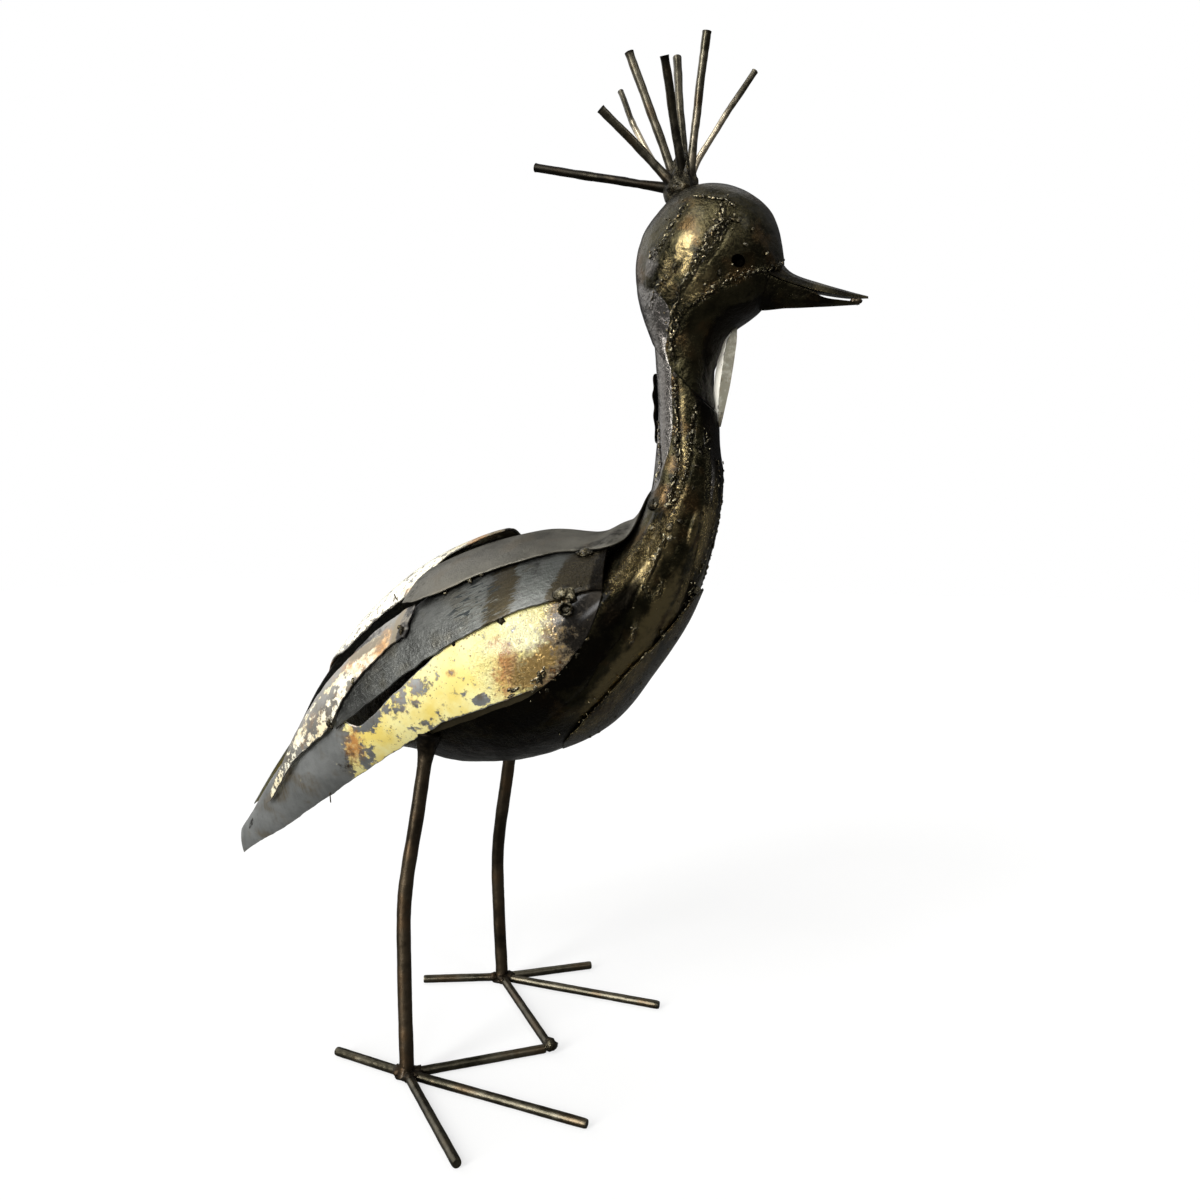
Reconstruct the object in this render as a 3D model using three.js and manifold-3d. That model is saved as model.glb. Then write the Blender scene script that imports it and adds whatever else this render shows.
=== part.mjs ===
import * as THREE from 'three';
import { mergeVertices } from 'three/addons/utils/BufferGeometryUtils.js';
import Module from 'manifold-3d';

// A crowned crane welded from scrap sheet steel and round bar, standing on two
// star-shaped rod feet whose inner toes are welded together.
// Units are millimetres. While the bird is laid out, x runs from tail to beak,
// y to the bird's left, z up, and the zero point lies on the ground midway
// between the two legs. At the end the group is shifted so that the zero point
// is at the middle of the bird's footprint.

// Driving dimensions
const sheet = 1.0;
const weldGap = 0.3;
const layerPitch = 1.6;
const legDiameter = 6.3;
const toeDiameter = 4.0;
const crownDiameter = 3.5;
const thinCrownDiameter = 2.6;
const eyeDiameter = 5.0;
const eyeDepth = 3.0;
const eyeDrillLength = 20;
const eyePlace = [134.0, 332.0];
const cheekHalfWidth = 20.3;
const tieBallDiameter = 6.6;
const toeSetback = 0.8;
const groundToOrigin = [-32, 13, 0];

// How finely curved pieces are divided
const bodyRows = 30;
const bodySides = 26;
const headRows = 18;
const headSides = 26;
const rodSides = 8;
const bentRodSteps = 4;
const legSides = 12;
const legSteps = 11;
const ballSegments = [14, 10];

// Heights of the sheet layers above the surface that the wings follow
const liningLift = 0.6;
const lowerLift = liningLift + layerPitch;
const middleLift = lowerLift + layerPitch;
const upperLift = middleLift + layerPitch;

const turn = Math.PI / 180;
const upwards = new THREE.Vector3(0, 0, 1);
const leftwards = new THREE.Vector3(0, 1, 0);
const wasm = await Module();
wasm.setup();

// Finishes
const finish = (color, roughness, metalness) => ({ color, roughness, metalness });
const finishes = {
  lacqueredSteel: finish(0x3a3222, 0.38, 0.85),
  greyStrip: finish(0x4b4845, 0.5, 0.8),
  blueGreyStrip: finish(0x5a5c5e, 0.45, 0.8),
  goldPaint: finish(0xd9c46a, 0.45, 0.3),
  creamPaint: finish(0xe4dcb8, 0.5, 0.2),
  ivoryPaint: finish(0xd8d2c0, 0.55, 0.1),
  darkRod: finish(0x2c251c, 0.45, 0.8),
  oliveRod: finish(0x5c5640, 0.4, 0.8),
  weldMetal: finish(0x4a4436, 0.5, 0.8),
};

// Smooth value along a strip, through keys of [place, value]
function keyed(keys) {
  const last = keys.length - 1;
  const slope = (i) => {
    const before = keys[Math.max(i - 1, 0)];
    const after = keys[Math.min(i + 1, last)];
    return (after[1] - before[1]) / (after[0] - before[0]);
  };
  return (place) => {
    let i = 0;
    while (i < last - 1 && place > keys[i + 1][0]) i += 1;
    const [from, low] = keys[i];
    const [to, high] = keys[i + 1];
    const span = to - from;
    const t = THREE.MathUtils.clamp((place - from) / span, 0, 1);
    const rise = t * t * (3 - 2 * t);
    const leaving = slope(i) * span * t * (1 - t) * (1 - t);
    const arriving = slope(i + 1) * span * t * t * (t - 1);
    return low + (high - low) * rise + leaving + arriving;
  };
}

// One cross-section of a shell: the point on its back line, the point on its
// front line, both [x, z] in the middle plane, the half width between them, and
// how far the section stands off the middle plane.
const section = (back, front, half, shift = 0) => ({ back, front, half, shift });

// A surface lofted through sections. Between sections every value follows a
// Catmull-Rom curve. A point is named by its place along the shell, counted in
// sections, and by its angle: 0 on the back line, 90 on the outer side and 180
// on the front line. The outer side is the bird's right for side -1.
class Shell {
  constructor(sections, side = -1) {
    const through = (pick) =>
      new THREE.CatmullRomCurve3(sections.map(pick), false, 'catmullrom', 0.5);
    this.last = sections.length - 1;
    this.side = side;
    this.backLine = through((s) => new THREE.Vector3(s.back[0], 0, s.back[1]));
    this.frontLine = through((s) => new THREE.Vector3(s.front[0], 0, s.front[1]));
    this.widths = through((s) => new THREE.Vector3(s.half, s.shift, 0));
  }

  point(place, angle, lift = 0) {
    const along = THREE.MathUtils.clamp(place / this.last, 0, 1);
    const back = this.backLine.getPoint(along);
    const front = this.frontLine.getPoint(along);
    const width = this.widths.getPoint(along);
    const point = back.clone().add(front).multiplyScalar(0.5);
    const spine = back.clone().sub(front).multiplyScalar(0.5);
    const reach = spine.length();
    point.addScaledVector(spine, (1 + lift / reach) * Math.cos(angle * turn));
    point.y = width.y + this.side * (width.x + lift) * Math.sin(angle * turn);
    return point;
  }

  ring(place, sides, lift = 0) {
    const points = [];
    for (let k = 0; k < sides; k += 1) points.push(this.point(place, (360 * k) / sides, lift));
    return points;
  }
}

// Solids

// A closed solid through rings of points. Its two ends are closed by a fan from
// the middle, or by a ladder across for a plate, whose ring runs along its
// outer face and back along its inner face.
function ringSolid(rings, plate = false) {
  const count = rings[0].length;
  const points = rings.flat();
  const faces = [];
  for (let i = 0; i + 1 < rings.length; i += 1) {
    for (let k = 0; k < count; k += 1) {
      const a = i * count + k;
      const b = i * count + ((k + 1) % count);
      faces.push([a, b, b + count], [a, b + count, a + count]);
    }
  }
  const close = (start, flip) => {
    const add = (a, b, c) => faces.push(flip ? [a, b, c] : [a, c, b]);
    if (plate) {
      for (let k = 0; k + 1 < count / 2; k += 1) {
        const across = count - 1 - k;
        add(start + k, start + k + 1, start + across);
        add(start + k + 1, start + across - 1, start + across);
      }
      return;
    }
    const middle = new THREE.Vector3();
    for (let k = 0; k < count; k += 1) middle.add(points[start + k]);
    points.push(middle.divideScalar(count));
    for (let k = 0; k < count; k += 1) add(start + k, start + ((k + 1) % count), points.length - 1);
  };
  close(0, false);
  close((rings.length - 1) * count, true);
  return facesOut(points, faces);
}

// Builds the geometry and turns its faces outwards
function facesOut(points, faces) {
  let volume = 0;
  for (const [a, b, c] of faces) {
    volume += points[a].clone().cross(points[b]).dot(points[c]);
  }
  const index = faces.flatMap(([a, b, c]) => (volume > 0 ? [a, b, c] : [a, c, b]));
  const geometry = new THREE.BufferGeometry();
  const flat = new Float32Array(points.flatMap((p) => [p.x, p.y, p.z]));
  geometry.setAttribute('position', new THREE.BufferAttribute(flat, 3));
  geometry.setIndex(index);
  return geometry;
}

// A rod of even-sided section through points. One of its flats faces along the
// reference direction, so a rod on the ground lies on a flat.
function rod(points, diameter, sides, steps, reference) {
  const path = new THREE.CatmullRomCurve3(points, false, 'centripetal');
  const corner = diameter / 2 / Math.cos(Math.PI / sides);
  const rings = [];
  for (let i = 0; i <= steps; i += 1) {
    const centre = path.getPointAt(i / steps);
    const ahead = path.getTangentAt(i / steps);
    const across = ahead.clone().cross(reference).normalize();
    const over = across.clone().cross(ahead);
    const ring = [];
    for (let k = 0; k < sides; k += 1) {
      const angle = (2 * Math.PI * (k + 0.5)) / sides;
      const point = centre.clone();
      point.addScaledVector(across, corner * Math.sin(angle));
      point.addScaledVector(over, corner * Math.cos(angle));
      ring.push(point);
    }
    rings.push(ring);
  }
  return ringSolid(rings);
}

// A curved plate of sheet steel lying on a shell between two edges. low and high
// give the edges' angles at a place, lift its height above the shell.
function plate(shell, { from, to, low, high, lift, rows, columns }) {
  const rings = [];
  for (let i = 0; i <= rows; i += 1) {
    const place = from + ((to - from) * i) / rows;
    const outer = [];
    const inner = [];
    for (let k = 0; k <= columns; k += 1) {
      const angle = low(place) + ((high(place) - low(place)) * k) / columns;
      const height = typeof lift === 'number' ? lift : lift(place);
      outer.push(shell.point(place, angle, height + sheet));
      inner.push(shell.point(place, angle, height));
    }
    rings.push([...outer, ...inner.reverse()]);
  }
  return ringSolid(rings, true);
}

// Boolean cuts
function toSolid(geometry) {
  const bare = geometry.clone();
  bare.deleteAttribute('normal');
  bare.deleteAttribute('uv');
  const merged = mergeVertices(bare, 1e-4);
  const vertProperties = new Float32Array(merged.attributes.position.array);
  const triVerts = new Uint32Array(merged.index.array);
  return new wasm.Manifold(new wasm.Mesh({ numProp: 3, vertProperties, triVerts }));
}

function toGeometry(solid) {
  const mesh = solid.getMesh();
  const geometry = new THREE.BufferGeometry();
  geometry.setAttribute('position', new THREE.BufferAttribute(mesh.vertProperties, 3));
  geometry.setIndex(new THREE.BufferAttribute(mesh.triVerts, 1));
  return geometry;
}

function cut(geometry, ...tools) {
  return toGeometry(tools.reduce((rest, tool) => rest.subtract(toSolid(tool)), toSolid(geometry)));
}

// Assembly
const bird = new THREE.Group();

function add(name, geometry, look) {
  const mesh = new THREE.Mesh(geometry, new THREE.MeshStandardMaterial(look));
  mesh.name = name;
  bird.add(mesh);
}

// Body

// Sections that the trunk and both wings share, from the neck's base to the belly
const trunk = [
  section([95, 246], [115, 209], 23),
  section([91, 236], [106.7, 190.2], 29),
  section([83.3, 227], [92, 168.4], 36.5),
  section([71, 223], [72.9, 145.7], 43.5),
  section([45, 223.6], [42.6, 130.2], 46.3),
  section([12, 214.2], [9, 125.3], 44.8),
];

const neck = [
  section([95.3, 305.9], [121.6, 277.3], 14.6),
  section([96.5, 290], [122, 266], 14.4),
  section([97, 275], [123.5, 251], 15.4),
  section([96.5, 259], [121, 230], 18.4),
];

const tailCone = [
  section([-20, 189], [-16, 129], 37),
  section([-48, 162], [-42, 128], 25),
  section([-70, 134], [-66, 117], 11),
  section([-83, 113], [-81, 109], 2.5),
];

const body = new Shell([...neck, ...trunk, ...tailCone]);
function bodySolid(lift) {
  const rings = [];
  for (let i = 0; i <= bodyRows; i += 1) {
    rings.push(body.ring((body.last * i) / bodyRows, bodySides, lift));
  }
  return ringSolid(rings);
}

add('torso_neck_shell', bodySolid(0), finishes.lacqueredSteel);

// Head
const head = new Shell([
  section([94.2, 307.6], [122.8, 276.6], 15.9),
  section([90.4, 317.5], [121.5, 291], 16.6),
  section([87.8, 328], [125, 307.5], 20),
  section([87.3, 339], [138, 317.3], 23.5),
  section([90.6, 349.5], [146.6, 330.5], 25),
  section([98.3, 358.8], [146.3, 342.5], 23.4),
  section([105.8, 364.4], [142.8, 354.2], 19),
  section([113.5, 366.4], [134.4, 362], 12),
  section([120.5, 366.7], [125, 366.3], 2),
]);

function headSolid(lift) {
  const rings = [];
  for (let i = 0; i <= headRows; i += 1) {
    rings.push(head.ring((head.last * i) / headRows, headSides, lift));
  }
  return ringSolid(rings);
}

function eyeDrill(side) {
  const drill = new THREE.CylinderGeometry(eyeDiameter / 2, eyeDiameter / 2, eyeDrillLength, 16);
  const middle = cheekHalfWidth - eyeDepth + eyeDrillLength / 2;
  drill.translate(eyePlace[0], side * middle, eyePlace[1]);
  return drill;
}

add('head_shell', cut(headSolid(0), eyeDrill(-1), eyeDrill(1)), finishes.lacqueredSteel);

// Beak: each half is a folded sheet that narrows to its tip. A row gives x, the
// height of the fold, the height of the open edges and the half width. The sheet
// is bent again at a shoulder between the fold and its edges.
const shoulderWidth = 0.62;
const shoulderDrop = 0.35;

function mandible(rows) {
  const rings = rows.map(([x, ridge, edge, half]) => [
    new THREE.Vector3(x, 0, ridge),
    new THREE.Vector3(x, half * shoulderWidth, ridge + (edge - ridge) * shoulderDrop),
    new THREE.Vector3(x, half, edge),
    new THREE.Vector3(x, -half, edge),
    new THREE.Vector3(x, -half * shoulderWidth, ridge + (edge - ridge) * shoulderDrop),
  ]);
  return ringSolid(rings);
}

const upperBeak = mandible([
  [139, 340, 331.3, 9],
  [147, 334.3, 327.2, 7.8],
  [151.3, 330.4, 325.5, 6.6],
  [159.4, 326.7, 322.7, 5],
  [171.5, 322.2, 319.5, 2.6],
  [180, 319.3, 318.5, 0.6],
]);
const lowerBeak = mandible([
  [137, 318, 331.9, 8.8],
  [147, 317, 326.9, 7.4],
  [151.3, 316.8, 325.2, 6.4],
  [159.4, 316.6, 322.4, 4.8],
  [165, 316.6, 319.8, 3.6],
  [176.8, 316.7, 317.7, 1.2],
]);
const headClear = headSolid(weldGap);
add('beak_upper', cut(upperBeak, headClear), finishes.lacqueredSteel);
add('beak_lower', cut(lowerBeak, headClear), finishes.lacqueredSteel);

// Wattle: a leaf folded down its middle, hung under the chin with its fold
// forwards and its two halves reaching back beside the neck. A row gives the
// fold's x and z, how far the halves reach back and how far they spread.
const wattleRows = [
  [129.2, 311.8, 1.2, 1.0],
  [129, 305, 4.6, 3.2],
  [127.9, 296, 5.0, 4.0],
  [126, 286, 4.4, 3.4],
  [124.2, 277.5, 2.6, 2.2],
  [122.9, 271.9, 0.8, 0.8],
];

function wattleSolid() {
  const rings = wattleRows.map(([x, z, reach, spread]) => {
    const wall = Math.min(sheet, reach);
    const inset = spread - 0.6 * wall;
    return [
      new THREE.Vector3(x - reach, -spread, z),
      new THREE.Vector3(x, 0, z),
      new THREE.Vector3(x - reach, spread, z),
      new THREE.Vector3(x - reach, inset, z),
      new THREE.Vector3(x - wall, 0, z),
      new THREE.Vector3(x - reach, -inset, z),
    ];
  });
  return ringSolid(rings, true);
}

add('wattle', cut(wattleSolid(), headClear), finishes.ivoryPaint);

// Crown: a mound of weld metal with eight bars fanned out of it. Each bar has
// its foot in the mound, sometimes a bend, and its tip.
const moundCentre = [105.8, 0, 367.2];
const moundRadii = [7.2, 6.6, 7.8];

function moundSolid(lift) {
  const mound = new THREE.SphereGeometry(1, ...ballSegments);
  mound.scale(...moundRadii.map((radius) => radius + lift));
  mound.translate(...moundCentre);
  return mound;
}

add('crown_weld', cut(moundSolid(0), headClear), finishes.weldMetal);

const moundClear = moundSolid(weldGap);
const crownBars = [
  { path: [[102, 0.7, 368.4], [39.5, 3, 385.5]], diameter: crownDiameter },
  { path: [[102.5, -3, 369.6], [92.9, -7, 380.4], [77.4, -18, 396.6]], diameter: crownDiameter },
  { path: [[101, 3.2, 370], [87.7, 9, 387.8], [72.2, 20, 418.8]], diameter: thinCrownDiameter },
  { path: [[103.3, 0.4, 370], [86.2, -9, 420.5]], diameter: crownDiameter },
  { path: [[106.9, -1.2, 370], [104.4, -20, 411.6]], diameter: crownDiameter },
  { path: [[106.7, 1.9, 371], [98.1, 18, 427.9]], diameter: crownDiameter },
  { path: [[108.6, 0.2, 370], [117.1, -5, 425]], diameter: crownDiameter },
  { path: [[107.5, 5, 369], [109.4, 8, 380], [130.6, 21, 418.5]], diameter: thinCrownDiameter },
];
crownBars.forEach(({ path, diameter }, i) => {
  const points = path.map((p) => new THREE.Vector3(...p));
  const steps = points.length > 2 ? bentRodSteps : 1;
  const bar = rod(points, diameter, rodSides, steps, leftwards);
  add(`crown_rod_${i + 1}`, cut(bar, moundClear, headClear), finishes.oliveRod);
});

// Wings

// The surface that a wing's strips lie on: the trunk, then a fuller tail. The
// left wing is set higher and nearer the middle than the right.
const rightWing = new Shell([
  ...trunk,
  section([-22, 196], [-24, 113], 41.5),
  section([-53, 172], [-50, 99], 35),
  section([-80, 144], [-74, 83], 26.5),
  section([-103, 108], [-99, 70], 17),
  section([-121, 78], [-117, 61], 8.5),
]);
const leftWing = new Shell([
  ...trunk.slice(0, 3),
  section([71, 222.8], [72.9, 145.7], 42.5, 1),
  section([45, 225.6], [42.6, 129], 40.5, 6),
  section([13, 223.2], [9, 124], 30.5, 17),
  section([-23, 209], [-24, 114], 24.5, 20),
  section([-51, 186.6], [-50, 100], 22.5, 15.5),
  section([-76, 153.6], [-74, 84], 19.5, 8.5),
  section([-99, 117], [-99, 70], 14.5, 3.5),
  section([-122, 79], [-118, 61], 8, 1),
], 1);

const liningShape = {
  from: 3.2,
  to: 5.4,
  low: keyed([[3.2, 104], [3.6, 109], [4.1, 111.5], [4.85, 120], [5.4, 124.5]]),
  high: keyed([[3.2, 97], [4.2, 104], [5.4, 113]]),
  lift: liningLift,
  rows: 8,
  columns: 2,
};
const lowerShape = {
  from: 2.04,
  to: 9.7,
  low: keyed([
    [2.04, 76], [2.34, 89], [2.81, 98], [3.27, 105], [3.93, 108.5], [4.67, 115], [5.15, 121.5],
    [6.07, 129.5], [6.89, 131.5], [7.58, 129], [8.38, 124.5], [9.7, 108],
  ]),
  high: keyed([
    [2.04, 64], [2.9, 52], [4, 58], [4.65, 77], [5.17, 88], [5.63, 96.5], [5.95, 101], [6.15, 97],
    [6.5, 84], [7, 78], [8, 78], [9.12, 73], [9.7, 61],
  ]),
  lift: lowerLift,
  rows: 26,
  columns: 5,
};
const middleShape = {
  from: 1.98,
  to: 6.4,
  low: keyed([
    [1.98, 74], [2.4, 66.5], [2.87, 62.5], [3.29, 64], [3.93, 69], [4.63, 78], [5.17, 85],
    [5.75, 91], [6.4, 94],
  ]),
  high: keyed([[1.98, 38], [2.9, 24], [4, 32], [4.8, 40], [5.4, 50], [6, 68], [6.4, 80]]),
  lift: middleLift,
  rows: 17,
  columns: 5,
};
const upperShape = {
  from: 5.28,
  to: 8.36,
  low: keyed([
    [5.28, 66], [5.51, 67], [5.75, 71.5], [6.07, 77], [6.3, 83], [6.5, 90.5], [7.05, 91],
    [7.43, 90.5], [7.72, 92], [8.16, 96.5], [8.36, 94],
  ]),
  high: keyed([
    [5.28, 48], [5.59, 50], [5.95, 52], [6.23, 56.5], [6.59, 60], [6.95, 65.5], [7.37, 74],
    [7.88, 85], [8.36, 92],
  ]),
  lift: upperLift,
  rows: 14,
  columns: 4,
};

const bodyClear = bodySolid(weldGap);
add('wing_right_lining', cut(plate(rightWing, liningShape), bodyClear), finishes.greyStrip);
add('wing_right_lower', plate(rightWing, lowerShape), finishes.goldPaint);
add('wing_right_middle', plate(rightWing, middleShape), finishes.blueGreyStrip);
add('wing_right_upper', plate(rightWing, upperShape), finishes.creamPaint);

// The left wing's top strip starts further forward and dips towards the middle,
// so it has edges of its own, and so have the strips that show past it
const leftUpperShape = {
  from: 4.8,
  to: 8,
  low: keyed([[4.8, 24], [5.4, 40], [6.4, 48], [7.2, 40], [8, 6]]),
  high: keyed([
    [4.8, -8], [5.2, -16], [5.55, -22], [5.8, -34], [6.04, -42], [6.5, -44], [7.2, -43],
    [7.6, -26], [8, -2],
  ]),
  lift: upperLift,
  rows: 15,
  columns: 5,
};
const leftMiddleShape = {
  ...middleShape,
  to: 8.9,
  low: keyed([
    [1.98, 73], [2.45, 65], [2.95, 60.5], [3.33, 62], [3.95, 68], [4.73, 78], [5.5, 84],
    [6.5, 82], [7.6, 66], [8.4, 40], [8.9, 18],
  ]),
  high: keyed([[1.98, 42], [2.9, 32], [4, 30], [5, 14], [6, 2], [7.2, -10], [8.2, -8], [8.9, 6]]),
};
const leftLowerShape = {
  ...lowerShape,
  low: keyed([
    [2.04, 76], [2.34, 89], [2.81, 98], [3.27, 105], [3.93, 108.5], [4.67, 114], [5.15, 118],
    [6.07, 119], [6.89, 117], [7.58, 114], [8.38, 110], [9.7, 98],
  ]),
  high: keyed([
    [2.04, 64], [2.9, 52], [4, 58], [4.88, 70], [6, 72], [7, 52], [7.9, 26], [8.8, 2], [9.7, -20],
  ]),
};

add('wing_left_lining', cut(plate(leftWing, liningShape), bodyClear), finishes.greyStrip);
add('wing_left_lower', plate(leftWing, leftLowerShape), finishes.goldPaint);
add('wing_left_middle', plate(leftWing, leftMiddleShape), finishes.blueGreyStrip);
add('wing_left_upper', plate(leftWing, leftUpperShape), finishes.creamPaint);

// Back and breast strips
const mantleShape = {
  from: 0,
  to: 5.5,
  low: keyed([
    [0, 5], [0.6, 30], [1.18, 45], [1.98, 43], [2.77, 34], [3.29, 33], [3.83, 40], [4.51, 45.5],
    [4.89, 49], [5.3, 48], [5.5, 45],
  ]),
  high: keyed([[0, -5], [0.8, -30], [2, -36], [3, -26], [4, -14], [4.7, -8], [5.5, -6]]),
  lift: keyed([[0, 0.4], [1.2, 1.6], [1.98, upperLift], [3.2, upperLift], [4.6, 5.9], [5.5, 7.8]]),
  rows: 20,
  columns: 6,
};
add('mantle_strip', plate(rightWing, mantleShape), finishes.greyStrip);

const breastHalfAngle = keyed([
  [0.1, 9], [0.5, 14], [0.9, 22], [1.9, 35], [2.5, 38], [2.9, 37], [3.4, 24], [3.6, 8],
]);
const breastShape = {
  from: 0.1,
  to: 3.6,
  low: (place) => 180 - breastHalfAngle(place),
  high: (place) => 180 + breastHalfAngle(place),
  lift: keyed([[0.1, 1.6], [0.7, 0.8], [1.5, 0.6], [3.6, 0.6]]),
  rows: 14,
  columns: 7,
};
add('breast_strip', plate(new Shell(trunk), breastShape), finishes.lacqueredSteel);

// Legs and feet. A foot is a leg's lower end with toes of rod around it.
const legs = {
  right: [
    [3.4, -52.3, 0], [3.4, -52.3, 3], [-0.2, -47.5, 44.3], [-2, -43.5, 74], [1.7, -38, 111],
    [6, -33.5, 150],
  ],
  left: [
    [0.4, 42.3, 0], [0.4, 42.3, 4], [-0.2, 40.8, 36], [0.9, 38, 69.6], [9, 33.5, 112.2],
    [16, 30, 150],
  ],
};
const toeTips = {
  right: { middle: [87, -57.7], outer: [52.1, -96.7], back: [-35, -47.8] },
  left: { middle: [84.3, 42.5], outer: [37.9, 71.1], back: [-35.5, 25.8] },
};
const tieBall = [51.3, -11.6];

// A toe lies on the ground from just outside the leg to its tip, or to the tie
// weld, where it stops short by the given distance
function toe(foot, tip, short = 0) {
  const start = new THREE.Vector3(foot[0], foot[1], toeDiameter / 2);
  const end = new THREE.Vector3(tip[0], tip[1], toeDiameter / 2);
  const along = end.clone().sub(start).normalize();
  start.addScaledVector(along, legDiameter / 2 + toeSetback);
  end.addScaledVector(along, -short);
  return rod([start, end], toeDiameter, rodSides, 1, upwards);
}

// The space a toe's neighbours must keep clear of
function toeClear(foot, tip) {
  const start = new THREE.Vector3(foot[0], foot[1], toeDiameter / 2);
  const end = new THREE.Vector3(tip[0], tip[1], toeDiameter / 2);
  return rod([start, end], toeDiameter + 2 * weldGap, rodSides, 1, upwards);
}

const ball = new THREE.SphereGeometry(tieBallDiameter / 2, ...ballSegments);
ball.translate(tieBall[0], tieBall[1], tieBallDiameter / 2);
add('toe_tie_weld', ball, finishes.weldMetal);

for (const side of ['right', 'left']) {
  const points = legs[side].map((p) => new THREE.Vector3(...p));
  const bar = rod(points, legDiameter, legSides, legSteps, leftwards);
  add(`leg_${side}`, cut(bar, bodyClear), finishes.darkRod);
  const foot = legs[side][0];
  const { middle, outer, back } = toeTips[side];
  const middleClear = toeClear(foot, middle);
  add(`toe_${side}_middle`, toe(foot, middle), finishes.oliveRod);
  add(`toe_${side}_back`, toe(foot, back), finishes.oliveRod);
  add(`toe_${side}_outer`, cut(toe(foot, outer), middleClear), finishes.oliveRod);
  const inner = toe(foot, tieBall, tieBallDiameter / 2 + weldGap);
  add(`toe_${side}_inner`, cut(inner, middleClear), finishes.oliveRod);
}

bird.position.set(...groundToOrigin);
export default bird;
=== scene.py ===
"""A crowned crane welded from curved strips of scrap sheet steel and round bar.

Sizes are in millimetres while a piece is shaped, and in metres once it is a mesh.
"""

import logging
import math
from abc import ABC, abstractmethod
from collections.abc import Callable
from dataclasses import dataclass, field, replace
from enum import Enum
from itertools import product

import bpy
import numpy as np
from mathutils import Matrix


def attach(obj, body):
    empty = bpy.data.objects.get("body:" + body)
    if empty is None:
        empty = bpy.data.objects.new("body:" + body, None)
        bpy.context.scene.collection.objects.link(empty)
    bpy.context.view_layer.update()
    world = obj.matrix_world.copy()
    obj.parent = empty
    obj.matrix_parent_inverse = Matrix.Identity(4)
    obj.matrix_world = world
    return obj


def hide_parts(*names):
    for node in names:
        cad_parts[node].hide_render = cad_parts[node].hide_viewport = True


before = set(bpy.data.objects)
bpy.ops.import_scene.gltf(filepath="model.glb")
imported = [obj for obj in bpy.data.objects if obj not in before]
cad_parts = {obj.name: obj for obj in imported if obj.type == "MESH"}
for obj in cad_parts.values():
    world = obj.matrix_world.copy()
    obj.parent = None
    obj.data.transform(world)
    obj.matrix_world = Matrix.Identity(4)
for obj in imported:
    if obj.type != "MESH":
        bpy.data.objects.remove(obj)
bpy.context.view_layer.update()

log = logging.getLogger("crane")
Array = np.ndarray
Keys = tuple[tuple[float, float], ...]
Spot = tuple[float, float, float]
Spots = tuple[Spot, ...]
Rows = tuple[tuple[float, ...], ...]
Layers = tuple[tuple[float, float, int], ...]
Color = tuple[float, float, float]
Socket = bpy.types.NodeSocket
Sockets = bpy.types.bpy_prop_collection

MM = 0.001
TURN = math.pi / 180
GROUND_TO_ORIGIN = np.array([-32.0, 13.0, 0.0])
UP = np.array([0, 0, 1.0])
LEFTWARDS = np.array([0, 1.0, 0])
SHEET = 1.0
LINING_LIFT, LOWER_LIFT, MIDDLE_LIFT, UPPER_LIFT = 0.6, 2.2, 3.8, 5.4
BODY = "root"
LATTICE = 32
BEAD_RINGS, BEAD_SIDES, BEAD_WAVER = 5, 9, 0.16
BEAD_CREASE = 70


class Slot(Enum):
    """The record's material slots."""

    LACQUERED = "lacquered_steel"
    GREY = "grey_strip"
    BLUE_GREY = "blue_grey_strip"
    GOLD = "gold_paint"
    CREAM = "cream_paint"
    IVORY = "ivory_paint"
    DARK_ROD = "dark_rod"
    OLIVE_ROD = "olive_rod"
    WELD = "weld_metal"


class Side(Enum):
    """The bird's own side that a shell's outer side faces."""

    RIGHT = -1
    LEFT = 1


class Mark(Enum):
    """What a piece's points are painted with, for its finish to read."""

    BARE = "bare"
    DASHES = "dashes"
    EDGE = "edge"
    # A lighter gilt tint, and painted highlights where the light falls on the head, the shoulder and the
    # crown bars.
    GILDED = "gilded"
    GRANULAR = "granular"
    # Paler paint, and painted highlight on the gold strip and painted light inside the chin leaf.
    PALE = "pale"
    PANEL = "panel"
    # Scorched paint, and painted shade on the chin leaf's outer face.
    SCORCH = "scorch"
    SHEET = "sheet"
    # Sooting, and painted shade in holes, grooves, gaps and hollows and on parts turned from the light.
    SOOT = "soot"


Marks = dict[Mark, Array]


# Shapes


def keyed(keys: Keys, at: Array) -> Array:
    """Smooth value through keys of (place, value).

    Between two keys it is the cubic whose slope at each key is the slope of the
    line through that key's neighbours.

    Args:
        keys: places in rising order with their values.
        at: places to read.

    Returns:
        The value at each place.
    """
    k = np.asarray(keys, float)
    last = len(k) - 1
    before = np.maximum(np.arange(last + 1) - 1, 0)
    after = np.minimum(np.arange(last + 1) + 1, last)
    slope = (k[after, 1] - k[before, 1]) / (k[after, 0] - k[before, 0])
    at = np.asarray(at, float)
    i = np.searchsorted(k[1:-1, 0], at, side="left")
    span = k[i + 1, 0] - k[i, 0]
    t = np.clip((at - k[i, 0]) / span, 0, 1)
    rise = t * t * (3 - 2 * t)
    leaving = slope[i] * span * t * (1 - t) ** 2
    arriving = slope[i + 1] * span * t * t * (t - 1)
    return k[i, 1] + (k[i + 1, 1] - k[i, 1]) * rise + leaving + arriving


def run_on(points: Array) -> Array:
    """The points with one more at each end, in line with the two before it."""
    return np.vstack([2 * points[0] - points[1], points, 2 * points[-1] - points[-2]])


def run_along(path: Array) -> Array:
    """The length of a path up to each of its points."""
    return np.concatenate([[0], np.cumsum(np.linalg.norm(np.diff(path, axis=0), axis=1))])


def cubic(here: Array, there: Array, leave: Array, arrive: Array, share: Array) -> Array:
    """The cubic that joins two points with the slopes given, at a share of the way."""
    square = 3 * (there - here) - 2 * leave - arrive
    cube = 2 * (here - there) + leave + arrive
    return here + share * (leave + share * (square + share * cube))


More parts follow.
